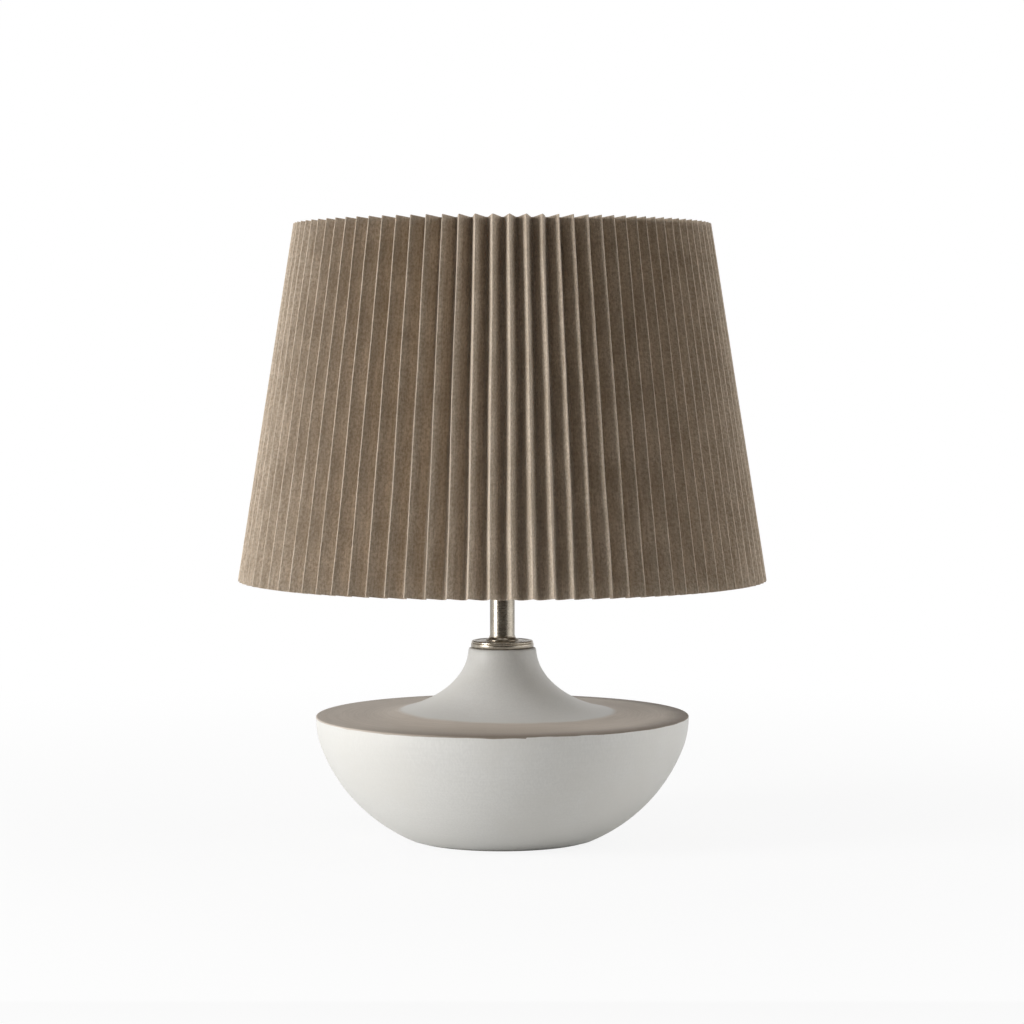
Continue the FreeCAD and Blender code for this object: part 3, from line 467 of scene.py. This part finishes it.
class Shape(Tree):
    """A geometry tree in the making, with named sizes as its inputs."""

    def __init__(self, name, sizes):
        self.tree = bpy.data.node_groups.new(name, "GeometryNodeTree")
        self.tree.is_modifier = True
        self.sizes = sizes
        face = self.tree.interface
        face.new_socket("Geometry", in_out="OUTPUT", socket_type="NodeSocketGeometry")
        self.keys = {}
        for key, value in sizes.items():
            kind = "NodeSocketInt" if isinstance(value, int) else "NodeSocketFloat"
            socket = face.new_socket(key, in_out="INPUT", socket_type=kind)
            self.keys[key] = socket.identifier
        self.inputs = self.tree.nodes.new("NodeGroupInput")
        self.outputs = self.tree.nodes.new("NodeGroupOutput")

    def __getitem__(self, key):
        return Number(self.tree, self.inputs.outputs[key])

    def grid(self, columns, rows):
        """A square of unit size, and whole numbers that count its columns and rows."""
        node = self.add("GeometryNodeMeshGrid", {
            "Size X": 1.0, "Size Y": 1.0, "Vertices X": columns + 1, "Vertices Y": rows + 1})
        place = self.add("GeometryNodeInputPosition").outputs[0]
        spot = self.add("ShaderNodeSeparateXYZ", {0: place})
        column = ((Number(self.tree, spot.outputs[0]) + 0.5) * columns).math("ROUND")
        row = ((Number(self.tree, spot.outputs[1]) + 0.5) * rows).math("ROUND")
        return node.outputs["Mesh"], column, row

    def moved(self, mesh, x, y, z):
        place = self.add("ShaderNodeCombineXYZ", {0: x, 1: y, 2: z}).outputs[0]
        node = self.add("GeometryNodeSetPosition", {"Geometry": mesh, "Position": place})
        return node.outputs[0]

    def noted(self, mesh, name, x, y, z):
        """The mesh with a vector written on every face corner."""
        value = self.add("ShaderNodeCombineXYZ", {0: x, 1: y, 2: z}).outputs[0]
        node = self.add("GeometryNodeStoreNamedAttribute",
                        {"Geometry": mesh, "Name": name, "Value": value},
                        data_type="FLOAT_VECTOR", domain="CORNER")
        return node.outputs[0]

    def close(self, mesh, material):
        """Weld the seams, then end the tree with realized, painted geometry."""
        for kind, sockets in (("MergeByDistance", {"Distance": WELD_GAP}),
                              ("RealizeInstances", {}),
                              ("SetMaterial", {"Material": material})):
            mesh = self.add("GeometryNode" + kind, {"Geometry": mesh, **sockets}).outputs[0]
        plug(self.tree, mesh, self.outputs.inputs[0])


def outward(mesh):
    """Turn the faces round if the closed mesh is inside out, and give its volume in litres."""
    mesh.calc_loop_triangles()
    points = np.empty(len(mesh.vertices) * 3)
    mesh.vertices.foreach_get("co", points)
    corners = np.empty(len(mesh.loop_triangles) * 3, dtype=np.int64)
    mesh.loop_triangles.foreach_get("vertices", corners)
    a, b, c = points.reshape(-1, 3)[corners].reshape(-1, 3, 3).transpose(1, 0, 2)
    volume = float(np.einsum("ij,ij->i", a, np.cross(b, c)).sum() / 6.0)
    if volume < 0.0:
        mesh.flip_normals()
    return abs(volume) * 1000.0


def finished(name, mesh, body, slot, *replaced, sharp=35.0):
    """Make the mesh a smooth piece on its body, standing for its solids."""
    litres = outward(mesh)
    mesh.shade_smooth()
    mesh.set_sharp_from_angle(angle=math.radians(sharp))
    piece = placed(name, mesh)
    if not mesh.materials:
        mesh.materials.append(finishes[slot])
    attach(piece, body)
    if replaced:
        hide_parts(*replaced)
    print("%s: %d faces, %.4f litres" % (name, len(mesh.polygons), litres))


def grown(name, shape):
    """The plain mesh that a shape's tree makes at its sizes."""
    seed = placed("seed", bpy.data.meshes.new("seed"))
    modifier = seed.modifiers.new("shape", "NODES")
    modifier.node_group = shape.tree
    for key, value in shape.sizes.items():
        modifier[shape.keys[key]] = value
    graph = bpy.context.evaluated_depsgraph_get()
    mesh = bpy.data.meshes.new_from_object(seed.evaluated_get(graph))
    mesh.name = name
    seed.modifiers.remove(modifier)
    bpy.data.objects.remove(seed)
    return mesh


print("geometry helpers ready")

# %% [markdown]
# ## The pleated cover
# The cover is one sheet of paper in 88 pleats. Each pleat follows the same rule: a round
# valley, a flat flank 22 to 28 degrees off the radius, and a tightly pressed crest, all
# getting narrower towards the top. That makes it a good job for a geometry tree: a flat
# grid is laid out column by column, and a formula bends it. Its rows go up the outside,
# over the top edge and down the inside, so the paper has a real thickness.
#
# A real shade isn't perfectly even. The pleats were gathered a little closer on one
# side when the paper was glued to its rings, the valleys beside the front's middle lean
# towards it, and every fold wanders by a fraction of a millimetre. The tree adds all
# three.

# %% Pleat sizes
pleat_sizes = {
    "Pleats": 88,
    "Bottom radius": 203.0 * MM,
    "Top radius": 159.8 * MM,
    "Bottom height": 199.8 * MM,
    "Top height": 472.0 * MM,
    "Bottom depth": 10.5 * MM,
    "Top depth": 11.6 * MM,
    "Paper": 0.5 * MM,
    "Crest round": 0.56 * MM,
    "Bottom flank": math.radians(28.0),
    "Top flank": math.radians(22.0),
    "Lean": 4.0 * MM,
    "Lean at": math.radians(2.0),
    "First valley": math.radians(0.89),
    "Gathered at": math.radians(47.34),
    "Gathered by": 0.177,
    "Wander": 0.42 * MM,
    "Seed": 7,
}
VALLEY_STEPS, FLANK_STEPS, CREST_STEPS = 5, 3, 4
OUTSIDE_ROWS, INSIDE_ROWS = 15, 9
LEAN_WAVES, LEAN_NARROW = 3.0, 4.0           # how it changes round the shade
LEAN_LESS_UP = 0.4                           # the share that is gone at the top
GATHER_NARROW = 2.537                        # how near its middle the gather stays
WANDER_WAVES, WANDER_WAVES_UP = 55.0, 7.0    # a metre
WANDER_ASIDE, WANDER_TILT, WANDER_OUTMOST = 2.4, 4.0, 0.9    # times the wander
PLEAT_SHEET = 27.0 * MM                      # flat paper in one pleat, for its map
print("pleats:", pleat_sizes["Pleats"])


# %% Pleat tree
def pleat_shape():
    shape = Shape("pleats", pleat_sizes)
    half_steps = VALLEY_STEPS + FLANK_STEPS + CREST_STEPS
    columns = 2 * half_steps * pleat_sizes["Pleats"]
    last_row = OUTSIDE_ROWS + INSIDE_ROWS + 2
    mesh, column, row = shape.grid(columns, last_row)

    pleat = ((column + 0.5) / (2.0 * half_steps)).math("FLOOR")
    step = column - pleat * (2.0 * half_steps) - half_steps
    side = step.math("SIGN")
    along = step.math("ABSOLUTE")

    outside = row.math("LESS_THAN", OUTSIDE_ROWS + 0.5)
    inside = row.math("GREATER_THAN", OUTSIDE_ROWS + 0.5)
    inside = inside * row.math("LESS_THAN", last_row - 0.5)
    up = outside * row / OUTSIDE_ROWS
    up = up + inside * (1.0 - (row - (OUTSIDE_ROWS + 1)) / INSIDE_ROWS)

    radius = blend_between(shape["Bottom radius"], shape["Top radius"], up)
    height = blend_between(shape["Bottom height"], shape["Top height"], up)
    depth = blend_between(shape["Bottom depth"], shape["Top depth"], up)
    rise = shape["Top height"] - shape["Bottom height"]
    slope = (shape["Bottom radius"] - shape["Top radius"]).math("ARCTAN2", rise)
    paper = inside * shape["Paper"] / slope.cos()
    half = math.pi / shape["Pleats"]

    crest_x = radius * half.cos()
    crest_y = radius * half.sin()
    valley_x = radius - depth * slope.cos()
    reach = crest_x - valley_x
    flank = blend_between(shape["Bottom flank"], shape["Top flank"], up)
    turn = math.pi / 2.0 - flank
    crest_round = shape["Crest round"]
    valley_round = (crest_y * flank.cos() - reach * flank.sin()) / (1.0 - flank.sin())
    valley_round = valley_round - crest_round

    in_valley = (along / VALLEY_STEPS).limited() * turn
    on_flank = ((along - VALLEY_STEPS) / FLANK_STEPS).limited()
    to_crest = ((half_steps - along) / CREST_STEPS).limited() * turn
    low_x = valley_round - (valley_round + paper) * in_valley.cos()
    low_y = (valley_round + paper) * in_valley.sin()
    high_x = reach - crest_round + (crest_round - paper) * to_crest.cos()
    high_y = crest_y - (crest_round - paper) * to_crest.sin()
    x = valley_x + blend_between(low_x, high_x, on_flank)
    valley_at = shape["First valley"] + pleat * (half * 2.0)
    middle = valley_at - shape["Lean at"]
    leaning = ((middle.cos() - 1.0) * LEAN_NARROW).math("EXPONENT")
    leaning = (middle * LEAN_WAVES).sin() * leaning * (1.0 - up * LEAN_LESS_UP)
    y = side * blend_between(low_y, high_y, on_flank)
    y = y - leaning * shape["Lean"] * (1.0 - on_flank)
    z = height - (crest_x - x) * slope.math("TANGENT")

    bend = valley_at + y.math("ARCTAN2", x)
    away = bend - shape["Gathered at"]
    gather = ((away.cos() - 1.0) * GATHER_NARROW).math("EXPONENT")
    bend = bend - shape["Gathered by"] * away.sin() * gather
    out = (x * x + y * y).math("SQRT")

    spot = shape.add("ShaderNodeCombineXYZ", {
        0: out * bend.sin() * WANDER_WAVES, 1: out * bend.cos() * WANDER_WAVES,
        2: z * WANDER_WAVES_UP})
    noise = shape.add("ShaderNodeTexNoise", {
        "Vector": spot.outputs[0], "W": shape["Seed"], "Scale": 1.0, "Detail": 1.0},
        noise_dimensions="4D")
    drift = shape.add("ShaderNodeSeparateXYZ", {0: noise.outputs["Color"]})
    aside = (Number(shape.tree, drift.outputs[0]) - 0.5) * 2.0
    outer = Number(shape.tree, drift.outputs[1])
    tilt = (Number(shape.tree, drift.outputs[2]) - 0.5) * (1.0 - on_flank)
    bend = bend + (aside * WANDER_ASIDE + tilt * WANDER_TILT) * shape["Wander"] / out
    out = out + (outer - WANDER_OUTMOST) * shape["Wander"] * on_flank

    flank_long = (reach - crest_round * 2.0) / flank.cos()
    from_crest = crest_round * to_crest + flank_long * (1.0 - on_flank)
    from_crest = from_crest + valley_round * (turn - in_valley)
    across = pleat * PLEAT_SHEET - side * from_crest
    mesh = shape.noted(mesh, "sheet", across, z, from_crest)
    mesh = shape.moved(mesh, out * bend.sin(), out * bend.cos() * -1.0, z)
    shape.close(mesh, finishes["pleated_paper"])
    return shape


finished("paper_cover", grown("paper_cover", pleat_shape()),
         "shade", "pleated_paper", "pleated_cover", sharp=50.0)

# %% [markdown]
# ## Turned pieces
# The bowl was thrown on a wheel and the metal neck was turned on a lathe, so each is a
# profile spun round the axis. The profile is written in millimetres as points out from
# the axis and up. Corners get a small round, because a knife-sharp edge never catches
# the light as a real one does.

# %% Lathe helpers
NOTHING = 1e-6                               # millimetres
SHARP_BELOW = math.radians(150.0)
CORNER_STEPS = 3


def arc(centre, radius, first, last, steps):
    """Points of an arc from one angle to another, in degrees."""
    points = []
    for k in range(steps + 1):
        turn = math.radians(first + (last - first) * k / steps)
        points.append((centre[0] + radius * math.cos(turn),
                       centre[1] + radius * math.sin(turn)))
    return points


def softened(points, size):
    """The closed profile with its sharp corners rounded off."""
    made = []
    for k, here in enumerate(points):
        here = Vector(here)
        back = Vector(points[k - 1]) - here
        ahead = Vector(points[(k + 1) % len(points)]) - here
        doubled = back.length <= NOTHING or ahead.length <= NOTHING
        if doubled or here.x < NOTHING or back.angle(ahead) >= SHARP_BELOW:
            made.append((here.x, here.y))
            continue
        cut = min(size, 0.45 * back.length, 0.45 * ahead.length)
        start = here + back.normalized() * cut
        end = here + ahead.normalized() * cut
        for j in range(CORNER_STEPS + 1):
            t = j / CORNER_STEPS
            spot = start * (1 - t) ** 2 + here * 2 * t * (1 - t) + end * t ** 2
            made.append((spot.x, spot.y))
    return made


def lathe(name, profile, segments, wobble=None):
    """Spin a closed profile, in millimetres, into a closed mesh."""
    rings = []
    points = []
    for out, up in profile:
        if out < NOTHING:
            rings.append([len(points)] * segments)
            points.append((0.0, 0.0, up * MM))
            continue
        ring = []
        for k in range(segments):
            turn = 2.0 * math.pi * k / segments
            r, h = (out, up) if wobble is None else wobble(out, up, turn)
            ring.append(len(points))
            points.append((r * MM * math.cos(turn), r * MM * math.sin(turn), h * MM))
        rings.append(ring)
    faces = []
    for low, high in zip(rings, rings[1:] + rings[:1]):
        for k in range(segments):
            face = [low[k], low[(k + 1) % segments], high[(k + 1) % segments], high[k]]
            kept = [v for j, v in enumerate(face) if v != face[j - 1]]
            if len(kept) > 2:
                faces.append(kept)
    mesh = bpy.data.meshes.new(name)
    mesh.from_pydata(points, [], faces)
    mesh.validate()
    return mesh


print("lathe helpers ready")

# %% [markdown]
# ## The bowl
# The side is one large curve that tightens under the rim, and the flat top runs in to a
# trumpet flare. The foot is hollow, where the nut sits. Thrown pottery is never quite
# flat or round: the top falls a little towards its rim, and the wobble is a quarter of a
# millimetre, enough for the rim's highlight to waver.

# %% Ceramic bowl
FOOT_OUT, FELT_TOP, DISC, RIM_ROUND = 73.5, 1.2, 96.0, 1.5
BOWL_R, SHOULDER_UP, SHOULDER_OUT, SHOULDER_R = 126.0, 70.0, 138.9, 65.0
FLARE_END, FLARE_TURN, FLARE_STEPS = 108.0, 88.3, 24
NECK_R, NECK_TOP, NECK_ROUND = 26.0, 147.0, 1.5
BORE_R, HOLLOW_R, HOLLOW_TOP = 5.6, 55.0, 16.0
CAMBER, FLAT_STEPS = 0.7, 8                  # fall of the flat top towards its rim
OVAL, LUMPS, ROLL, ROLL_FROM = 0.20, 0.08, 0.12, 60.0        # the wheel's wobble


def bowl_profile():
    foot = Vector((FOOT_OUT, FELT_TOP))
    shoulder = Vector((SHOULDER_OUT, SHOULDER_UP))
    chord = shoulder - foot
    offset = math.sqrt(BOWL_R ** 2 - 0.25 * chord.length_squared)
    centre = 0.5 * (foot + shoulder) + Vector((-chord.y, chord.x)).normalized() * offset
    first = math.degrees(math.asin((FELT_TOP - centre.y) / BOWL_R))
    turn = math.degrees(math.asin((SHOULDER_UP - centre.y) / BOWL_R))
    small = centre + (shoulder - centre) * (1.0 - SHOULDER_R / BOWL_R)
    last = math.degrees(math.asin((DISC - RIM_ROUND - small.y) / SHOULDER_R))
    side = arc(centre, BOWL_R, first, turn, 30) + arc(small, SHOULDER_R, turn, last, 16)[1:]
    rim = side[-1][0] - RIM_ROUND
    edge = [(out, DISC - RIM_ROUND + (up - DISC + RIM_ROUND) * (1.0 - CAMBER / RIM_ROUND))
            for out, up in arc((rim, DISC - RIM_ROUND), RIM_ROUND, 0.0, 90.0, 6)[1:]]
    flat = []
    for k in range(1, FLAT_STEPS + 1):
        share = 1.0 - k / FLAT_STEPS
        flat.append((FLARE_END + (rim - FLARE_END) * share, DISC - CAMBER * share ** 2))
    flare = []
    for k in range(FLARE_STEPS + 1):
        turn = math.radians(90.0 - FLARE_TURN * k / FLARE_STEPS)
        flare.append((FLARE_END - (FLARE_END - NECK_R) * math.cos(turn),
                      NECK_TOP - (NECK_TOP - DISC) * math.sin(turn)))
    neck = arc((NECK_R - NECK_ROUND, NECK_TOP - NECK_ROUND), NECK_ROUND, 0.0, 90.0, 5)
    under = [(BORE_R, NECK_TOP), (BORE_R, HOLLOW_TOP), (HOLLOW_R, HOLLOW_TOP),
             (HOLLOW_R, FELT_TOP)]
    return side + edge + flat + flare + neck + under


def thrown(out, up, turn):
    """The wheel's small unevenness, growing with the distance from the axis."""
    share = min(1.0, out / 150.0) * min(1.0, max(0.0, up - 2.0) / 30.0)
    wider = OVAL * math.sin(2.0 * turn + 0.7) + LUMPS * math.sin(5.0 * turn + 2.0)
    higher = ROLL * math.sin(3.0 * turn + 1.1) if up > ROLL_FROM else 0.0
    return out + share * wider, up + share * higher


finished("ceramic_bowl", lathe("ceramic_bowl", softened(bowl_profile(), 0.8), 320, thrown),
         "base", "glazed_ceramic", "ceramic_body")

# %% [markdown]
# ## The metal cap and collar
# The pottery's neck is closed by a pressed metal cap with a rolled edge, and a small
# flared collar stands on it where the tube begins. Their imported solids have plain
# shoulders. An edge this size is read by the bright lines along it, so both are turned
# again here: an upright band, a fine groove over it, and a thin lip that rolls inwards.

# %% Cap and collar
CAP_R, CAP_BASE, CAP_TOP, CAP_HOLE = 24.1, 147.0, 153.0, 5.0
CAP_METAL, CAP_FLAT_R, CAP_INSIDE_R = 1.0, 12.8, 20.2
# how far in from the cap's radius, and how far up from its base
BAND = ((1.4, 0.0), (0.3, 0.5), (0.0, 1.2), (0.0, 3.2), (0.3, 3.7), (0.8, 3.9))
LIP = ((0.4, 4.3), (0.5, 5.1), (1.3, 5.6), (2.9, 5.6), (3.8, 5.2), (5.0, 5.3))
COLLAR_TOP, COLLAR_FOOT_R, COLLAR_FOOT_UP = 156.2, 12.6, 0.6
TUBE_R, TUBE_GAP, COLLAR_STEPS = 9.5, 0.4, 8


def cap_profile():
    edge = [(CAP_R - inwards, CAP_BASE + up) for inwards, up in BAND + LIP]
    top = [(CAP_FLAT_R, CAP_TOP), (CAP_HOLE, CAP_TOP), (CAP_HOLE, CAP_TOP - CAP_METAL),
           (CAP_FLAT_R - 0.4, CAP_TOP - CAP_METAL)]
    return edge + top + [(CAP_INSIDE_R, CAP_TOP - 1.8), (CAP_INSIDE_R, CAP_BASE)]


def collar_profile():
    flare = COLLAR_FOOT_R - TUBE_R - TUBE_GAP
    foot = CAP_TOP + COLLAR_FOOT_UP
    side = []
    for k in range(COLLAR_STEPS + 1):
        turn = 0.5 * math.pi * k / COLLAR_STEPS
        side.append((COLLAR_FOOT_R - flare * math.sin(turn),
                     foot + (COLLAR_TOP - foot) * (1.0 - math.cos(turn))))
    return [(CAP_HOLE, CAP_TOP), (COLLAR_FOOT_R, CAP_TOP)] + side + [(CAP_HOLE, COLLAR_TOP)]


finished("neck_cap", lathe("neck_cap", softened(cap_profile(), 0.35), 160),
         "base", "satin_nickel", "vase_cap")
finished("neck_collar", lathe("neck_collar", softened(collar_profile(), 0.25), 128),
         "base", "satin_nickel", "check_ring")

# %% [markdown]
# ## The bulb's screw cap
# The cap is thin metal rolled into a coarse round thread that climbs 3.63 mm a turn. A
# thread is a rule again, so a geometry tree makes it: a grid is wrapped round the axis,
# and its radius follows a cosine of the height less the angle. The wave fades out at
# both ends of the thread, and a plain collar holds the glass. The inside follows at the
# thickness of the metal.

# %% Screw cap sizes
thread_sizes = {
    "Radius": 13.05 * MM,
    "Lip radius": 10.04 * MM,
    "Depth": 0.9 * MM,
    "Pitch": 3.63 * MM,
    "Base": 241.05 * MM,
    "Top": 263.45 * MM,
    "Collar": 5.6 * MM,
    "Chamfer": 0.5 * MM,
    "Chamfer height": 1.5 * MM,
    "Sheet": 0.5 * MM,
}
THREAD_SIDES, THREAD_ROWS = 72, 64
THREAD_FROM = 1.2                            # in heights of the chamfer
print("thread: %.2f mm a turn" % (thread_sizes["Pitch"] / MM))


# %% Screw cap tree
def thread_shape():
    shape = Shape("rolled_thread", thread_sizes)
    mesh, column, row = shape.grid(THREAD_SIDES, 2 * THREAD_ROWS + 1)
    outside = row.math("LESS_THAN", THREAD_ROWS + 0.5)
    inside = row.math("GREATER_THAN", THREAD_ROWS + 0.5)
    inside = inside * row.math("LESS_THAN", 2 * THREAD_ROWS + 0.5)
    step = outside * row + inside * (2 * THREAD_ROWS - row) * (THREAD_ROWS / (THREAD_ROWS - 1))
    lip = step.math("LESS_THAN", 0.5)
    up = ((step - 1.0) / (THREAD_ROWS - 1.0)).limited()

    base = shape["Base"]
    z = blend_between(base + inside * shape["Sheet"] * 2.0, shape["Top"], up)
    turn = column * (2.0 * math.pi / THREAD_SIDES)
    chamfers = (z - base) / shape["Chamfer height"]
    fade_in = (chamfers - THREAD_FROM).limited()
    fade_out = ((shape["Top"] - shape["Collar"] - z) / shape["Chamfer height"]).limited()
    wave = 1.0 - (z * (2.0 * math.pi) / shape["Pitch"] - turn).cos()
    narrower = 1.0 - chamfers.limited()
    out = shape["Radius"] - inside * shape["Sheet"] - narrower * shape["Chamfer"]
    out = out - wave * 0.5 * shape["Depth"] * fade_in * fade_out
    out = blend_between(out, shape["Lip radius"], lip)
    mesh = shape.moved(mesh, out * turn.cos(), out * turn.sin(), z)
    shape.close(mesh, finishes["aluminium"])
    return shape


finished("screw_cap", grown("screw_cap", thread_shape()),
         "bulb", "aluminium", "bulb_screw_cap")

# %% [markdown]
# ## Floor and light
# The floor is pale, and the picture's background is white. The white comes from what the
# camera, mirrors and glass see, by the Light Path node, and not from more light on the
# lamp. Near the lamp the floor mixes that white with an ordinary matte floor, so the
# lamp keeps its soft shadow. Seen from below the floor is clear, so that the foot shows,
# and so is the hair's breadth under the felt, which would be black otherwise.
#
# Large softboxes at the sides and a weak one above give the light. The left one is the
# stronger for its size. Part of the right side's light isn't mirrored by the metal,
# whose right edge is darker on the real neck. Two dark cards in front, which the camera
# doesn't see, keep the valleys between the pleats dark.

# %% Floor and world
FLOOR_HALF, FLOOR_Z = 14.0, -0.2 * MM
SHADOW_NEAR, SHADOW_FAR, WHITE_NEAR = 0.25, 1.2, 0.87
UNDER_FELT = 1.5 * MM
AMBIENT = 0.38                               # the world's strength on the lamp itself


def four_cornered(name, corners, material):
    """A flat piece of the studio."""
    mesh = bpy.data.meshes.new(name)
    mesh.from_pydata(corners, [], [(0, 1, 2, 3)])
    mesh.materials.append(material)
    return placed(name, mesh)


def floor_finish():
    ground = Finish("floor", Roughness=0.9, Base_Color=(0.88, 0.88, 0.88, 1.0),
                    Specular_IOR_Level=0.1)
    path = ground.add("ShaderNodeLightPath").outputs
    glow = ground.add("ShaderNodeEmission", {"Strength": 1.0})
    x, y, z = ground.parts(ground.place)
    away = (x * x + y * y).math("SQRT")
    white = ground.spread(away, SHADOW_NEAR, SHADOW_FAR, WHITE_NEAR, 1.0)
    seen = Number(ground.tree, path["Is Camera Ray"]) * white
    mixed = ground.add("ShaderNodeMixShader", {0: seen, 1: ground.shader.outputs[0],
                                               2: glow.outputs[0]})
    below = Number(ground.tree, ground.add("ShaderNodeNewGeometry").outputs["Backfacing"])
    under_felt = Number(ground.tree, path["Ray Length"]).math("LESS_THAN", UNDER_FELT)
    clear = ground.add("ShaderNodeBsdfTransparent").outputs[0]
    mixed = ground.add("ShaderNodeMixShader", {0: below.math("MAXIMUM", under_felt),
                                               1: mixed.outputs[0], 2: clear})
    plug(ground.tree, mixed.outputs[0], ground.tree.nodes["Material Output"].inputs[0])
    return ground.material


def studio_world(ambient):
    world = bpy.data.worlds.new("studio")
    bpy.context.scene.world = world
    world.use_nodes = True
    tree = world.node_tree
    path = tree.nodes.new("ShaderNodeLightPath")
    seen = Number(tree, path.outputs["Is Camera Ray"])
    for ray in ("Is Glossy Ray", "Is Transmission Ray"):
        seen = seen.math("MAXIMUM", path.outputs[ray])
    strength = seen * (1.0 - ambient) + ambient
    back = tree.nodes["Background"]
    back.inputs["Color"].default_value = (1.0, 1.0, 1.0, 1.0)
    plug(tree, strength, back.inputs["Strength"])


corners = [(x * FLOOR_HALF, y * FLOOR_HALF, FLOOR_Z)
           for x, y in ((-1, -1), (1, -1), (1, 1), (-1, 1))]
floor = four_cornered("floor", corners, floor_finish())
floor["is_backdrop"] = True
studio_world(AMBIENT)
print("floor: %.0f m across" % (2.0 * FLOOR_HALF))

# %% Softboxes and dark cards
AIM = (0.0, 0.0, 0.2)
# name: place, width, height, watts, and whether the metal mirrors it
softboxes = {
    "left_softbox": ((-2.25, -1.05, 0.66), 0.95, 1.5, 68.0, True),
    "right_softbox": ((2.5, -0.35, 0.74), 3.0, 2.3, 26.0, True),
    "right_fill": ((2.6, -0.36, 0.76), 3.0, 2.3, 21.0, False),
    "top_softbox": ((0.0, 0.6, 2.6), 2.0, 2.0, 9.0, True),
}
for name, (place, width, height, watts, mirrored) in softboxes.items():
    light = bpy.data.lights.new(name, "AREA")
    light.shape = "RECTANGLE"
    light.size = width
    light.size_y = height
    light.energy = watts
    box = placed(name, light)
    box.visible_glossy = mirrored
    box.location = place
    box.rotation_euler = (Vector(AIM) - Vector(place)).to_track_quat("-Z", "Y").to_euler()

CARD_HALF = 3.0
# name: y and z of its two long edges, and its colour
cards = {
    "front_card": ((-3.2, 0.01), (-3.2, 3.2), (0.03, 0.024, 0.016, 1.0)),
    "floor_card": ((-0.6, 0.004), (-3.2, 0.004), (0.05, 0.038, 0.024, 1.0)),
}
for name, (low, high, colour) in cards.items():
    black = Finish(name, Roughness=1.0, Base_Color=colour, Specular_IOR_Level=0.0)
    corners = [(x * CARD_HALF, *edge)
               for x, edge in ((-1, low), (1, low), (1, high), (-1, high))]
    card = four_cornered(name, corners, black.material)
    card.visible_camera = False
    card.visible_shadow = False
    card.visible_transmission = False
    card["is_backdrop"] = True
print("softboxes:", len(softboxes), "and dark cards:", len(cards))

# %% [markdown]
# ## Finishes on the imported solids
# The small hardware already has its right shape, so those solids stay and only get their
# finish. Each solid's name leads to the slot that the record gives it.

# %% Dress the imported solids
slot_of = {part["node"]: part["material_slot"] for part in frame["record"]["subparts"]}
dressed = 0
for name, node in nodes.items():
    slot = slot_of.get(name)
    if slot is None or node.hide_render:
        continue
    node.data.materials.clear()
    node.data.materials.append(finishes[slot])
    dressed += 1
print("dressed", dressed, "solids")

# %% [markdown]
# ## The two boxes
# The box of the solids and the box of the finished lamp are printed side by side.

# %% Print both boxes
final_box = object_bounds()
for label, (low, high) in (("solids", cad_box), ("finished", final_box)):
    print(label, ["%.4f" % v for v in (high - low)])
